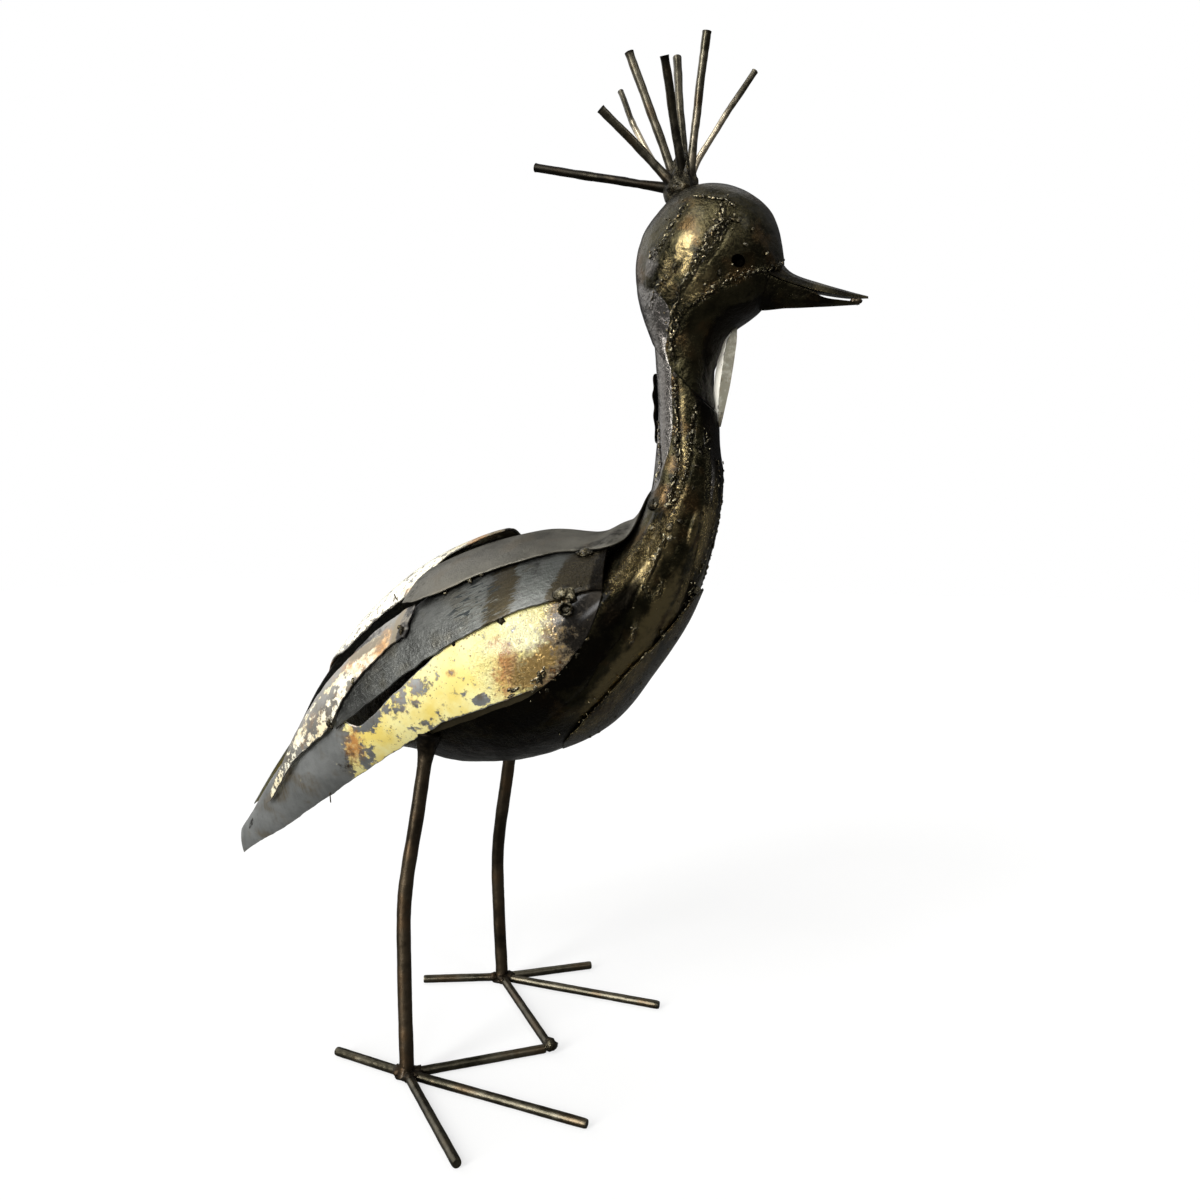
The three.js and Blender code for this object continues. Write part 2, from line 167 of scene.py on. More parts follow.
def spline(points: Array, share: Array) -> Array:
    """Point on an even Catmull-Rom curve, whose ends run on straight.

    Args:
        points: rows of values that the curve passes through.
        share: how far along, from 0 to 1.

    Returns:
        One row of values for each share.
    """
    p = run_on(points)
    at = np.clip(share, 0, 1) * (len(points) - 1)
    i = np.minimum(at.astype(int), len(points) - 2)
    before, here, there, beyond = p[i], p[i + 1], p[i + 2], p[i + 3]
    return cubic(here, there, (there - before) / 2, (beyond - here) / 2, (at - i)[..., None])


def bent_path(points: Array, count: int) -> Array:
    """Evenly spaced points on a bent bar's centreline.

    The curve is a Catmull-Rom one whose spans are weighted by the square root of
    their length, walked in equal steps of its own length.

    Args:
        points: where the bar starts, bends and ends.
        count: how many points to return.

    Returns:
        An array of count points.
    """
    p = run_on(points)
    knot = np.sqrt(np.linalg.norm(np.diff(p, axis=0), axis=1))[:, None]
    u = np.linspace(0, len(points) - 1, 40 * len(points))
    i = np.minimum(u.astype(int), len(points) - 2)
    a, b, c, d = p[i], p[i + 1], p[i + 2], p[i + 3]
    first, middle, last = knot[i], knot[i + 1], knot[i + 2]
    leave = ((b - a) / first - (c - a) / (first + middle) + (c - b) / middle) * middle
    arrive = ((c - b) / middle - (d - b) / (middle + last) + (d - c) / last) * middle
    path = cubic(b, c, leave, arrive, (u - i)[:, None])
    run = run_along(path)
    even = np.linspace(0, run[-1], count)
    return np.stack([np.interp(even, run, path[:, axis]) for axis in range(3)], -1)


def unevenness(points: Array, size: float, seed: int) -> Array:
    """Smooth random field: values from -1 to 1 on a lattice of cubes, blended across each cube.

    Args:
        points: where to read it, in millimetres.
        size: the side of a cube.
        seed: picks the lattice's values.

    Returns:
        One value for each point.
    """
    table = np.random.default_rng(seed).uniform(-1, 1, (LATTICE, LATTICE, LATTICE))
    q = points / size
    cell = np.floor(q).astype(int)
    w = q - cell
    w = w * w * (3 - 2 * w)
    total = np.zeros(points.shape[:-1])
    for corner in product((0, 1), repeat=3):
        at = (cell + corner) % LATTICE
        share = np.where(corner, w, 1 - w).prod(-1)
        total += table[at[..., 0], at[..., 1], at[..., 2]] * share
    return total


def layered(points: Array, layers: Layers, seed: int = 0) -> Array:
    """Sum of random fields of (height, size, seed), with a number added to the seeds."""
    return sum(height * unevenness(points, size, seed + own) for height, size, own in layers)


def unit(vectors: Array) -> Array:
    """The vectors at length one."""
    return vectors / np.maximum(np.linalg.norm(vectors, axis=-1, keepdims=True), 1e-9)


def step(low: float, high: float, value: Array) -> Array:
    """0 below low, 1 above high and a smooth rise between them."""
    t = np.clip((value - low) / (high - low), 0, 1)
    return t * t * (3 - 2 * t)


@dataclass(frozen=True)
class Daub:
    """An oval of a finish on a shell, soft at its edge."""

    place: float
    angle: float
    length: float
    width: float
    strength: float = 1.0
    soft: float = 0.4


Daubs = dict[Mark, tuple[Daub, ...]]


def daubed(place: Array, angle: Array, daubs: tuple[Daub, ...]) -> Array:
    """How strongly each point is daubed: by the strongest oval, full inside and gone outside.

    Args:
        place: the points' places along the shell.
        angle: the points' angles round it.
        daubs: the ovals.

    Returns:
        A strength from 0 to 1 for each point.
    """
    total = np.zeros(np.broadcast(place, angle).shape)
    for d in daubs:
        out = np.hypot((place - d.place) / d.length, (angle - d.angle) / d.width)
        total = np.maximum(total, d.strength * step(1 + d.soft, 1 - d.soft, out))
    return total


def below(place: Array, angle: Array, border: Keys, soft: float = 4.0) -> Array:
    """1 where the angle lies below a border keyed along the shell, 0 above, with a soft change."""
    return step(soft, -soft, angle - keyed(border, place))


@dataclass(frozen=True)
class Shell:
    """A surface lofted through sections.

    A section holds x and z of its back point, x and z of its front point, its half
    width and how far it stands off the middle plane.
    """

    sections: tuple[tuple[float, ...], ...]
    side: Side = Side.RIGHT

    def table(self) -> Array:
        """The sections as rows of six numbers."""
        return np.array([tuple(s) + (0.0,) * (6 - len(s)) for s in self.sections])

    @property
    def last(self) -> int:
        """The place of the last section."""
        return len(self.sections) - 1

    def point(self, place: Array, angle: Array, lift: Array = 0.0) -> Array:
        """Point of the surface.

        It is the middle of the back and front points, plus the half spine times the
        angle's cosine, plus the half width times its sine towards the outer side,
        with both lengthened by the lift.

        Args:
            place: counted in sections.
            angle: degrees from the back line, 90 at the outer side.
            lift: height above the surface.

        Returns:
            Points in the figure's own frame, in millimetres.
        """
        parts = (np.asarray(v, float) for v in (place, angle, lift))
        place, angle, lift = np.broadcast_arrays(*parts)
        s = spline(self.table(), place / self.last)
        spine = (s[..., 0:2] - s[..., 2:4]) / 2
        reach = np.maximum(np.linalg.norm(spine, axis=-1), 1e-6)
        middle = (s[..., 0:2] + s[..., 2:4]) / 2
        turn = angle * TURN
        xz = middle + spine * ((1 + lift / reach) * np.cos(turn))[..., None]
        y = s[..., 5] + self.side.value * (s[..., 4] + lift) * np.sin(turn)
        return np.stack([xz[..., 0], y, xz[..., 1]], -1) + GROUND_TO_ORIGIN

    def outwards(self, place: Array, angle: Array) -> Array:
        """Direction straight out of the surface: across both of its tangents."""
        along = self.point(place + 0.02, angle) - self.point(place - 0.02, angle)
        round_it = self.point(place, angle + 1.0) - self.point(place, angle - 1.0)
        normal = unit(np.cross(along, round_it))
        away = self.point(place, angle, 1.0) - self.point(place, angle)
        return normal * np.sign((normal * away).sum(-1, keepdims=True))

    def grid(self, rows: int, sides: int) -> tuple[Array, Array, Array]:
        """An even grid over the whole shell.

        Args:
            rows: how many places it has.
            sides: how many angles it has.

        Returns:
            Each point's place, its angle, and its angle from the back line on either side.
        """
        places = np.linspace(0, self.last, rows)
        angles = np.linspace(0, 360, sides, endpoint=False)
        place, angle = np.meshgrid(places, angles, indexing="ij")
        return place, angle, np.where(angle > 180, 360 - angle, angle)


@dataclass
class Form:
    """Points, faces and painted marks of one closed piece."""

    points: Array
    faces: list[Array]
    marks: Marks = field(default_factory=dict)


def grid_faces(rows: int, columns: int, closed: bool = False) -> Array:
    """Four-sided faces of a grid of points, each naming a cell's corners in turn.

    Args:
        rows: points down the grid.
        columns: points across it.
        closed: whether the last column joins the first.

    Returns:
        An array of corner numbers.
    """
    i, j = np.meshgrid(np.arange(rows - 1), np.arange(columns - (not closed)), indexing="ij")
    a = (i * columns + j).ravel()
    b = (i * columns + (j + 1) % columns).ravel()
    return np.stack([a, a + columns, b + columns, b], -1)


def tube(rings: Array, marks: Marks | None = None) -> Form:
    """Closed form through rings of points, each end closed by a fan from its middle.

    Args:
        rings: an array of rings by points by three.
        marks: values for each point of the rings.

    Returns:
        The form.
    """
    rows, columns = rings.shape[:2]
    start = np.arange(columns)
    end = start + (rows - 1) * columns
    after = np.roll(start, -1)
    middle = rows * columns
    fans = np.concatenate([
        np.stack([start, after, np.full(columns, middle)], -1),
        np.stack([after + end[0], end, np.full(columns, middle + 1)], -1),
    ])

    def capped(values: Array) -> Array:
        """The rings' values, and their mean at each end."""
        ends = [values[k].mean(0).reshape(1, -1) for k in (0, -1)]
        return np.concatenate([values.reshape(rows * columns, -1), *ends])

    points = np.vstack([rings.reshape(-1, 3), rings[0].mean(0), rings[-1].mean(0)])
    spread = {name: capped(values) for name, values in (marks or {}).items()}
    return Form(points, [grid_faces(rows, columns, True), fans], spread)


def plate(outer: Array, inner: Array, marks: Marks, back: Marks | None = None) -> Form:
    """Closed sheet between an outer and an inner grid of points, walled round its rim.

    Args:
        outer: rows by columns by three.
        inner: the same grid one thickness further in.
        marks: values for each point of the grid.
        back: values for the inner grid where they differ.

    Returns:
        The form.
    """
    rows, columns = outer.shape[:2]
    count = rows * columns
    face = grid_faces(rows, columns)
    index = np.arange(count).reshape(rows, columns)
    rim = np.concatenate([index[0], index[1:, -1], index[-1, -2::-1], index[-2:0:-1, 0]])
    after = np.roll(rim, -1)
    wall = np.stack([rim, after, after + count, rim + count], -1)
    points = np.vstack([outer.reshape(-1, 3), inner.reshape(-1, 3)])
    under = {**marks, **(back or {})}
    spread = {
        name: np.concatenate([values.reshape(count, -1), under[name].reshape(count, -1)])
        for name, values in marks.items()
    }
    return Form(points, [face, face[:, ::-1] + count, wall], spread)


def lumps(
    centres: Array, axes: Array, radii: Array, heights: Array, seed: int,
    draw: float = 0.0, along: Array | None = None, soot: tuple[float, float] = (-0.3, 0.75),
) -> Form:
    """Beads of weld metal: squashed balls whose radius wavers from point to point.

    A ball's point is its centre, plus the radius times the sine of the polar angle
    round the axis, plus the height times its cosine along the axis.

    Args:
        centres: one point for each bead.
        axes: the direction each bead stands up in.
        radii: how far each reaches to its sides.
        heights: how far each reaches along its axis.
        seed: picks the wavering.
        draw: the share by which the longest of them are drawn out in one direction.
        along: roughly that direction for each bead, or none where it is left to chance.
        soot: the least and most sooted bead's share of soot.

    Returns:
        All beads as one form, some of them sooted.
    """
    count = len(centres)
    rng = np.random.default_rng(seed)
    aim = rng.normal(size=(count, 3))
    over = unit(np.cross(axes, aim if along is None else along + 0.4 * aim))
    across = np.cross(over, axes)
    polar = np.linspace(0, np.pi, BEAD_RINGS + 2)[1:-1][:, None]
    round_it = np.linspace(0, 2 * np.pi, BEAD_SIDES, endpoint=False)[None, :]
    waver = 1 + BEAD_WAVER * rng.normal(size=(count, BEAD_RINGS, BEAD_SIDES, 1))
    drawn = rng.uniform(1.0, 1.0 + draw, (count, 1, 1, 1))
    flat = np.sin(polar)[None, :, :, None] * radii[:, None, None, None] * waver
    stand = np.cos(polar)[None, :, :, None] * heights[:, None, None, None] * waver
    sideways = (np.cos(round_it)[None, ..., None] * across[:, None, None] * drawn
                + np.sin(round_it)[None, ..., None] * over[:, None, None] / np.sqrt(drawn))
    balls = centres[:, None, None] + flat * sideways + stand * axes[:, None, None]
    top = centres + axes * heights[:, None]
    bottom = centres - axes * heights[:, None]
    points = np.concatenate([balls.reshape(count, -1, 3), top[:, None], bottom[:, None]], 1)
    one = tube(balls[0])
    shift = np.arange(count)[:, None, None] * points.shape[1]
    faces = [(f[None] + shift).reshape(-1, f.shape[1]) for f in one.faces]
    burnt = np.repeat(rng.uniform(*soot, count), points.shape[1])[:, None]
    return Form(points.reshape(-1, 3), faces, {Mark.SOOT: burnt})


CRATER_PROFILE = np.array([
    (0.7, -0.4, 0.8), (1.0, -0.1, 0.8), (1.05, 0.2, 0.7), (0.98, 0.42, 0.6), (0.82, 0.52, 0.7),
    (0.68, 0.42, 1.0), (0.58, 0.15, 1.5), (0.5, -0.1, 2), (0.1, -0.15, 2),
])
CRATER_SIDES, CRATER_WAVER = 26, 0.11


def crater(centre: Array, axis: Array, radius: float, seed: int) -> Form:
    """Blob of weld with a burnt hollow in its top, darkened with painted shade: a profile turned round a
    wavering axis.

    A row of the profile holds a distance from the axis and a height, both in radii, and how sooted it is
    there, which in the hollow is partly painted shade.

    Args:
        centre: the middle of its foot.
        axis: the direction it stands up in.
        radius: how far it reaches to its sides.
        seed: picks the wavering.

    Returns:
        The form, sooted and painted with shade inside the hollow.
    """
    reach, height, soot = CRATER_PROFILE[:, None, :1], CRATER_PROFILE[:, None, 1:2], CRATER_PROFILE[:, 2:3]
    across = unit(np.cross(axis, np.array([0.31, 0.2, 0.93])))
    over = np.cross(axis, across)
    turns = np.linspace(0, 2 * np.pi, CRATER_SIDES, endpoint=False)
    out = np.cos(turns)[:, None] * across + np.sin(turns)[:, None] * over
    unsteady = np.random.default_rng(seed).normal(size=(len(CRATER_PROFILE), CRATER_SIDES, 1))
    rings = centre + radius * (reach * out[None] * (1 + CRATER_WAVER * unsteady) + height * axis)
    return tube(rings, {Mark.SOOT: np.repeat(soot, CRATER_SIDES, 1)})


def sooted(form: Form, soot: float) -> Form:
    """The form with one share of soot all over."""
    form.marks[Mark.SOOT] = np.full((len(form.points), 1), soot)
    return form


def circles(path: Array, reference: Array, sides: int) -> Array:
    """Directions of length one round a path, square to it.

    Args:
        path: the centreline's points.
        reference: a direction that the path never runs along.
        sides: how many directions at each point.

    Returns:
        Points of the path by sides by three.
    """
    ahead = unit(np.gradient(path, axis=0))
    across = unit(np.cross(ahead, reference))[:, None]
    over = np.cross(across[:, 0], ahead)[:, None]
    angle = (2 * np.pi * (np.arange(sides) + 0.5) / sides)[None, :, None]
    return np.sin(angle) * across + np.cos(angle) * over


def rod(path: Array, radius: Array, reference: Array, sides: int = 20) -> Form:
    """Round bar: a circle of the given radius carried along a path, closed at both ends.

    Args:
        path: the centreline's points.
        radius: the bar's radius at each of them.
        reference: a direction that the path never runs along.
        sides: points round the bar.

    Returns:
        The form.
    """
    return tube(path[:, None] + radius[:, None, None] * circles(path, reference, sides))


def joined(forms: list[Form]) -> Form:
    """Several forms as one, with a mark that one of them lacks at nothing there."""
    starts = np.cumsum([0] + [len(f.points) for f in forms])
    faces = [one + start for form, start in zip(forms, starts) for one in form.faces]
    marks = {
        mark: np.concatenate([f.marks.get(mark, np.zeros((len(f.points), 1))) for f in forms])
        for mark in Mark if any(mark in f.marks for f in forms)
    }
    return Form(np.vstack([f.points for f in forms]), faces, marks)


def put(
    name: str, form: Form, slot: Slot, material: bpy.types.Material, *nodes: str, crease: float = 40.0
) -> bpy.types.Object:
    """Makes a form a finished piece of the figure.

    Args:
        name: the piece's name.
        form: its shape in millimetres.
        slot: the material slot, not used.
        material: its finish.
        nodes: the solid nodes that it stands for.
        crease: edges sharper than this many degrees stay sharp.

    Returns:
        The piece.
    """
    points = form.points
    volume = 0.0
    for f in form.faces:
        for k in range(1, f.shape[1] - 1):
            volume += (np.cross(points[f[:, 0]], points[f[:, k]]) * points[f[:, k + 1]]).sum()
    faces = [f if volume > 0 else f[:, ::-1] for f in form.faces]
    mesh = bpy.data.meshes.new(name)
    mesh.from_pydata((points * MM).tolist(), [], [row for f in faces for row in f.tolist()])
    for mark, values in form.marks.items():
        wide = values.shape[-1] == 3
        painted = mesh.attributes.new(mark.value, "FLOAT_VECTOR" if wide else "FLOAT", "POINT")
        painted.data.foreach_set("vector" if wide else "value", values.astype(np.float32).ravel())
    mesh.shade_smooth()
    mesh.set_sharp_from_angle(angle=crease * TURN)
    mesh.materials.append(material)
    piece = bpy.data.objects.new(name, mesh)
    bpy.context.scene.collection.objects.link(piece)
    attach(piece, BODY)
    if nodes:
        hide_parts(*nodes)
    log.info("%s: %d faces", name, len(mesh.polygons))
    return piece


# Finishes

# Near-black for sooting, also used for painted shade.
SOOT: Color = (0.006, 0.005, 0.004)
DASH: Color = (0.03, 0.034, 0.034)
# Sooted paint and steel colours, also used for painted shade.
BURNT_AND_SHADED_PAINT: Color = (0.02, 0.014, 0.008)
BURNT_AND_SHADED_STEEL: Color = (0.015, 0.012, 0.008)
RELIEF_DEPTH = 0.0006
GRANULAR_GRAIN = 1.4


class Kind(Enum):
    """The kinds of socket that a shared group has."""

    NUMBER = "NodeSocketFloat"
    COLOR = "NodeSocketColor"
    VECTOR = "NodeSocketVector"


class Wires:
    """Short words for laying out one node tree."""

    def __init__(self, tree: bpy.types.NodeTree) -> None:
        """Starts an empty tree."""
        self.tree = tree
        tree.nodes.clear()

    def add(self, kind: str, feeds: dict | None = None, **settings: object) -> bpy.types.Node:
        """Adds a node.

        Args:
            kind: the node's type.
            feeds: a socket or a value for each input, by name or number.
            settings: the node's own properties.

        Returns:
            The node.
        """
        node = self.tree.nodes.new(kind)
        for key, value in settings.items():
            setattr(node, key, value)
        for key, value in (feeds or {}).items():
            self.feed(node.inputs[key], value)
        return node

    def feed(self, socket: Socket, value: object) -> None:
        """Links a socket, or sets a plain value."""
        if isinstance(value, Socket):
            self.tree.links.new(value, socket)
        elif isinstance(value, tuple) and socket.type == "RGBA":
            socket.default_value = (*value, 1.0)
        else:
            socket.default_value = value

    def group(self, tree: bpy.types.NodeTree, **feeds: object) -> Sockets:
        """Places a shared group with its own values, and gives its outputs."""
        return self.add("ShaderNodeGroup", feeds, node_tree=tree).outputs

    def math(self, how: str, a: object, b: object) -> Socket:
        """Two numbers joined in one of the maths node's ways."""
        return self.add("ShaderNodeMath", {0: a, 1: b}, operation=how).outputs[0]

    def plus(self, a: object, b: object) -> Socket:
        """The sum of two numbers."""
        return self.math("ADD", a, b)

    def minus(self, a: object, b: object) -> Socket:
        """The difference of two numbers."""
        return self.math("SUBTRACT", a, b)

    def times(self, a: object, b: object) -> Socket:
        """The product of two numbers."""
        return self.math("MULTIPLY", a, b)

    def larger(self, a: object, b: object) -> Socket:
        """The larger of two numbers."""
        return self.math("MAXIMUM", a, b)

    def mix(self, share: object, a: object, b: object) -> Socket:
        """Colour a, with a share of colour b."""
        return self.add("ShaderNodeMix", {0: share, 6: a, 7: b}, data_type="RGBA").outputs[2]

    def ramp(self, value: object, low: float, high: float, bottom: float = 0.0, top: float = 1.0) -> Socket:
        """A value from bottom at low to top at high, smoothly."""
        feeds = {"Value": value, "From Min": low, "From Max": high, "To Min": bottom, "To Max": top}
        return self.add("ShaderNodeMapRange", feeds, interpolation_type="SMOOTHSTEP").outputs[0]

    def noise(self, where: Socket, scale: object, detail: float, rough: float = 0.55) -> Socket:
        """Cloudy noise about a half."""
        feeds = {"Vector": where, "Scale": scale, "Detail": detail, "Roughness": rough}
        return self.add("ShaderNodeTexNoise", feeds).outputs[0]

    def cells(self, where: Socket, scale: object) -> Socket:
        """Distance from the nearest of scattered points."""
        return self.add("ShaderNodeTexVoronoi", {"Vector": where, "Scale": scale}).outputs["Distance"]

    def swing(self, noise: Socket, reach: object) -> Socket:
        """Noise about a half turned into noise about nothing, times a reach."""
        return self.times(self.minus(noise, 0.5), reach)

    def mark(self, mark: Mark) -> Socket:
        """One of a piece's painted marks."""
        return self.add("ShaderNodeAttribute", attribute_name=mark.value).outputs["Fac"]


class Effects:
    """The node groups that the finishes share, each built once."""

    def __init__(self) -> None:
        """Builds every group."""
        number, color, vector = Kind.NUMBER, Kind.COLOR, Kind.VECTOR
        self.patina = self.build(
            "patina", self.lay_patina,
            {"Vector": vector, "Scale": number, "Deep": color, "Plain": color, "Warm": color},
            {"Color": color, "Cloud": number},
        )
        self.beaten = self.build(
            "beaten_sheet", self.lay_beaten,
            {"Vector": vector, "Dents": number, "Grain": number, "Grit": number}, {"Height": number},
        )
        self.brushed = self.build(
            "brushed_streaks", self.lay_brushed,
            {"Vector": vector, "Along": number, "Across": number}, {"Streak": number},
        )
        self.flaked = self.build(
            "flaked_edge", self.lay_flaked,
            {"Vector": vector, "Mask": number, "Scale": number, "Ragged": number},
            {"Mask": number, "Rim": number},
        )
        self.specks = self.build(
            "specks", self.lay_specks, {"Vector": vector, "Scale": number, "Size": number}, {"Mask": number}
        )

    @staticmethod
    def build(
        name: str, lay: Callable[[Wires, Sockets], dict[str, Socket]],
        takes: dict[str, Kind], gives: dict[str, Kind],
    ) -> bpy.types.NodeTree:
        """Makes one group.

        Args:
            name: the group's name.
            lay: fills the tree, and returns what feeds each output.
            takes: its inputs with their kinds.
            gives: its outputs with their kinds.

        Returns:
            The group.
        """
        tree = bpy.data.node_groups.new(name, "ShaderNodeTree")
        for way, sockets in (("INPUT", takes), ("OUTPUT", gives)):
            for key, kind in sockets.items():
                tree.interface.new_socket(key, in_out=way, socket_type=kind.value)
        w = Wires(tree)
        w.add("NodeGroupOutput", lay(w, w.add("NodeGroupInput").outputs))
        return tree

    @staticmethod
    def lay_patina(w: Wires, i: Sockets) -> dict[str, Socket]:
        """Two sizes of cloud from the deep to the plain colour, warm where a third is high."""
        finer, stain_finer, large_share, fine_share, warmest = 5.0, 1.7, 0.6, 0.4, 0.8
        large = w.noise(i["Vector"], i["Scale"], detail=5.0, rough=0.6)
        fine = w.noise(i["Vector"], w.times(i["Scale"], finer), detail=6.0, rough=0.7)
        tint_share = w.noise(i["Vector"], w.times(i["Scale"], stain_finer), detail=3.0, rough=0.5)
        cloud = w.plus(w.times(large, large_share), w.times(fine, fine_share))
        base = w.mix(w.ramp(cloud, 0.36, 0.64), i["Deep"], i["Plain"])
        warmed = w.mix(w.ramp(tint_share, 0.5, 0.68, top=warmest), base, i["Warm"])
        return {"Color": warmed, "Cloud": cloud}

    @staticmethod
    def lay_beaten(w: Wires, i: Sockets) -> dict[str, Socket]:
        """Height of shallow hammer dents, with grains of spatter and fine grit added."""
        wide_scale, close_scale, grain_scale, grit_scale, close_share = 90.0, 300.0, 780.0, 1500.0, 0.45
        wide = w.noise(i["Vector"], wide_scale, detail=2.0, rough=0.5)
        close = w.noise(i["Vector"], close_scale, detail=2.0, rough=0.5)
        dents = w.times(w.plus(wide, w.times(close, close_share)), i["Dents"])
        spatter = w.ramp(w.noise(i["Vector"], grain_scale, detail=4.0, rough=0.62), 0.38, 0.7)
        grit = w.times(w.noise(i["Vector"], grit_scale, detail=5.0, rough=0.65), i["Grit"])
        return {"Height": w.plus(dents, w.plus(w.times(spatter, i["Grain"]), grit))}

    @staticmethod
    def lay_brushed(w: Wires, i: Sockets) -> dict[str, Socket]:
        """Noise drawn out along the sheet by the ratio of its two scales."""
        scale = w.add("ShaderNodeCombineXYZ", {0: i["Along"], 1: i["Across"], 2: 1.0}).outputs[0]
        drawn = w.add("ShaderNodeVectorMath", {0: i["Vector"], 1: scale}, operation="MULTIPLY").outputs[0]
        return {"Streak": w.ramp(w.noise(drawn, 1.0, detail=5.0, rough=0.6), 0.3, 0.7)}

    @staticmethod
    def lay_flaked(w: Wires, i: Sockets) -> dict[str, Socket]:
        """A soft mask cut off where noise added to it passes a half, and a softer rim round it."""
        noise = w.noise(i["Vector"], i["Scale"], detail=6.0, rough=0.65)
        shaken = w.plus(i["Mask"], w.swing(noise, i["Ragged"]))
        return {"Mask": w.ramp(shaken, 0.46, 0.54), "Rim": w.ramp(shaken, 0.3, 0.48)}

    @staticmethod
    def lay_specks(w: Wires, i: Sockets) -> dict[str, Socket]:
        """Small spots round scattered points, kept only where a cloud is high."""
        coarser = 0.3
        spot = w.math("LESS_THAN", w.cells(i["Vector"], i["Scale"]), i["Size"])
        cloud = w.noise(i["Vector"], w.times(i["Scale"], coarser), detail=3.0)
        return {"Mask": w.times(spot, w.ramp(cloud, 0.5, 0.58))}


class Finish(ABC):
    """A finish that a material is made from."""

    def material(self, name: str, effects: Effects) -> bpy.types.Material:
        """Makes the material.

        Args:
            name: its name.
            effects: the shared groups.

        Returns:
            The material.
        """
        made = bpy.data.materials.new(name)
        made.use_nodes = True
        w = Wires(made.node_tree)
        here = w.add("ShaderNodeTexCoord").outputs["Object"]
        sheet = w.add("ShaderNodeAttribute", attribute_name=Mark.SHEET.value).outputs["Vector"]
        shader = w.add("ShaderNodeBsdfPrincipled", self.surface(w, effects, here, sheet))
        w.add("ShaderNodeOutputMaterial", {"Surface": shader.outputs[0]})
        return made

    @abstractmethod
    def surface(self, w: Wires, effects: Effects, here: Socket, sheet: Socket) -> dict[str, object]:
        """Lays out the finish.

        Args:
            w: the material's wires.
            effects: the shared groups.
            here: the place on the figure.
            sheet: the place on a strip, along it and across it.

        Returns:
            What feeds each of the shader's sockets.
        """

    @staticmethod
    def relief(w: Wires, height: Socket) -> Socket:
        """The normal that a height bends."""
        feeds = {"Strength": 1.0, "Distance": RELIEF_DEPTH, "Height": height}
        return w.add("ShaderNodeBump", feeds).outputs[0]


@dataclass(frozen=True)
class Steel(Finish):
    """Bare sheet, bar or weld metal under clear lacquer."""

    deep: Color
    plain: Color
    warm: Color
    roughness: tuple[float, float]
    panel: Color = (0.16, 0.15, 0.15)
    gilded: Color = (0.2, 0.13, 0.045)
    coat: float = 0.6
    dents: float = 0.6
    grain: float = 0.1
    grit: float = 0.12
    scale: float = 45.0
    streaks: float = 0.0
    brushy: float = 0.0
    blend: float = 0.28
    panel_blend: float = 0.08
    cover: float = 0.92

    def surface(self, w: Wires, effects: Effects, here: Socket, sheet: Socket) -> dict[str, object]:
        """Cloudy metal with patches in other tints, among them painted highlights, streaks and dashes along a
        strip, and sooting with painted shade.
        """
        color, cloud = w.group(
            effects.patina, Vector=here, Scale=self.scale, Deep=self.deep, Plain=self.plain, Warm=self.warm
        )
        fine = w.noise(here, 330.0, detail=5.0, rough=0.65)
        ragged = w.plus(w.swing(cloud, 1.0), w.swing(fine, 1.1))
        tint_edge_noise, plating = ragged, w.swing(fine, 0.3)
        streak = w.group(effects.brushed, Vector=sheet, Along=1.3, Across=9.0)[0]
        if self.brushy:
            tint_edge_noise = plating = w.plus(w.swing(cloud, 0.6), w.swing(streak, self.brushy))
        # The first tint is gilt, partly a painted highlight.
        for mark, tint, torn, soft in (
            (Mark.GILDED, self.gilded, tint_edge_noise, self.blend),
            (Mark.PANEL, self.panel, plating, self.panel_blend),
        ):
            share = w.ramp(w.plus(w.mark(mark), torn), 0.5 - soft, 0.5 + soft)
            color = w.mix(w.times(share, self.cover), color, tint)
        if self.streaks:
            lined = w.ramp(streak, 0.0, 1.0, 1.0 - self.streaks, 1.0 + self.streaks)
            feeds = {0: color, "Scale": lined}
            color = w.add("ShaderNodeVectorMath", feeds, operation="SCALE").outputs[0]
        # The sooted mark also holds painted shade, mixed in here as near-black.
        soot = w.ramp(w.plus(w.mark(Mark.SOOT), ragged), 0.25, 0.8, top=0.9)
        color = w.mix(soot, color, SOOT)
        wide = w.group(effects.brushed, Vector=sheet, Along=1.6, Across=6.0)[0]
        color = w.mix(w.times(w.ramp(wide, 0.62, 0.78), w.mark(Mark.DASHES)), color, DASH)
        grain = w.plus(w.times(w.mark(Mark.GRANULAR), GRANULAR_GRAIN), self.grain)
        height = w.group(effects.beaten, Vector=here, Dents=self.dents, Grain=grain, Grit=self.grit)[0]
        return {
            "Base Color": color,
            "Roughness": w.plus(w.ramp(cloud, 0.35, 0.65, *self.roughness), w.times(soot, 0.12)),
            "Metallic": 1.0,
            "Coat Weight": w.times(w.minus(1.0, soot), self.coat),
            "Coat Roughness": 0.12,
            "Normal": self.relief(w, height),
        }


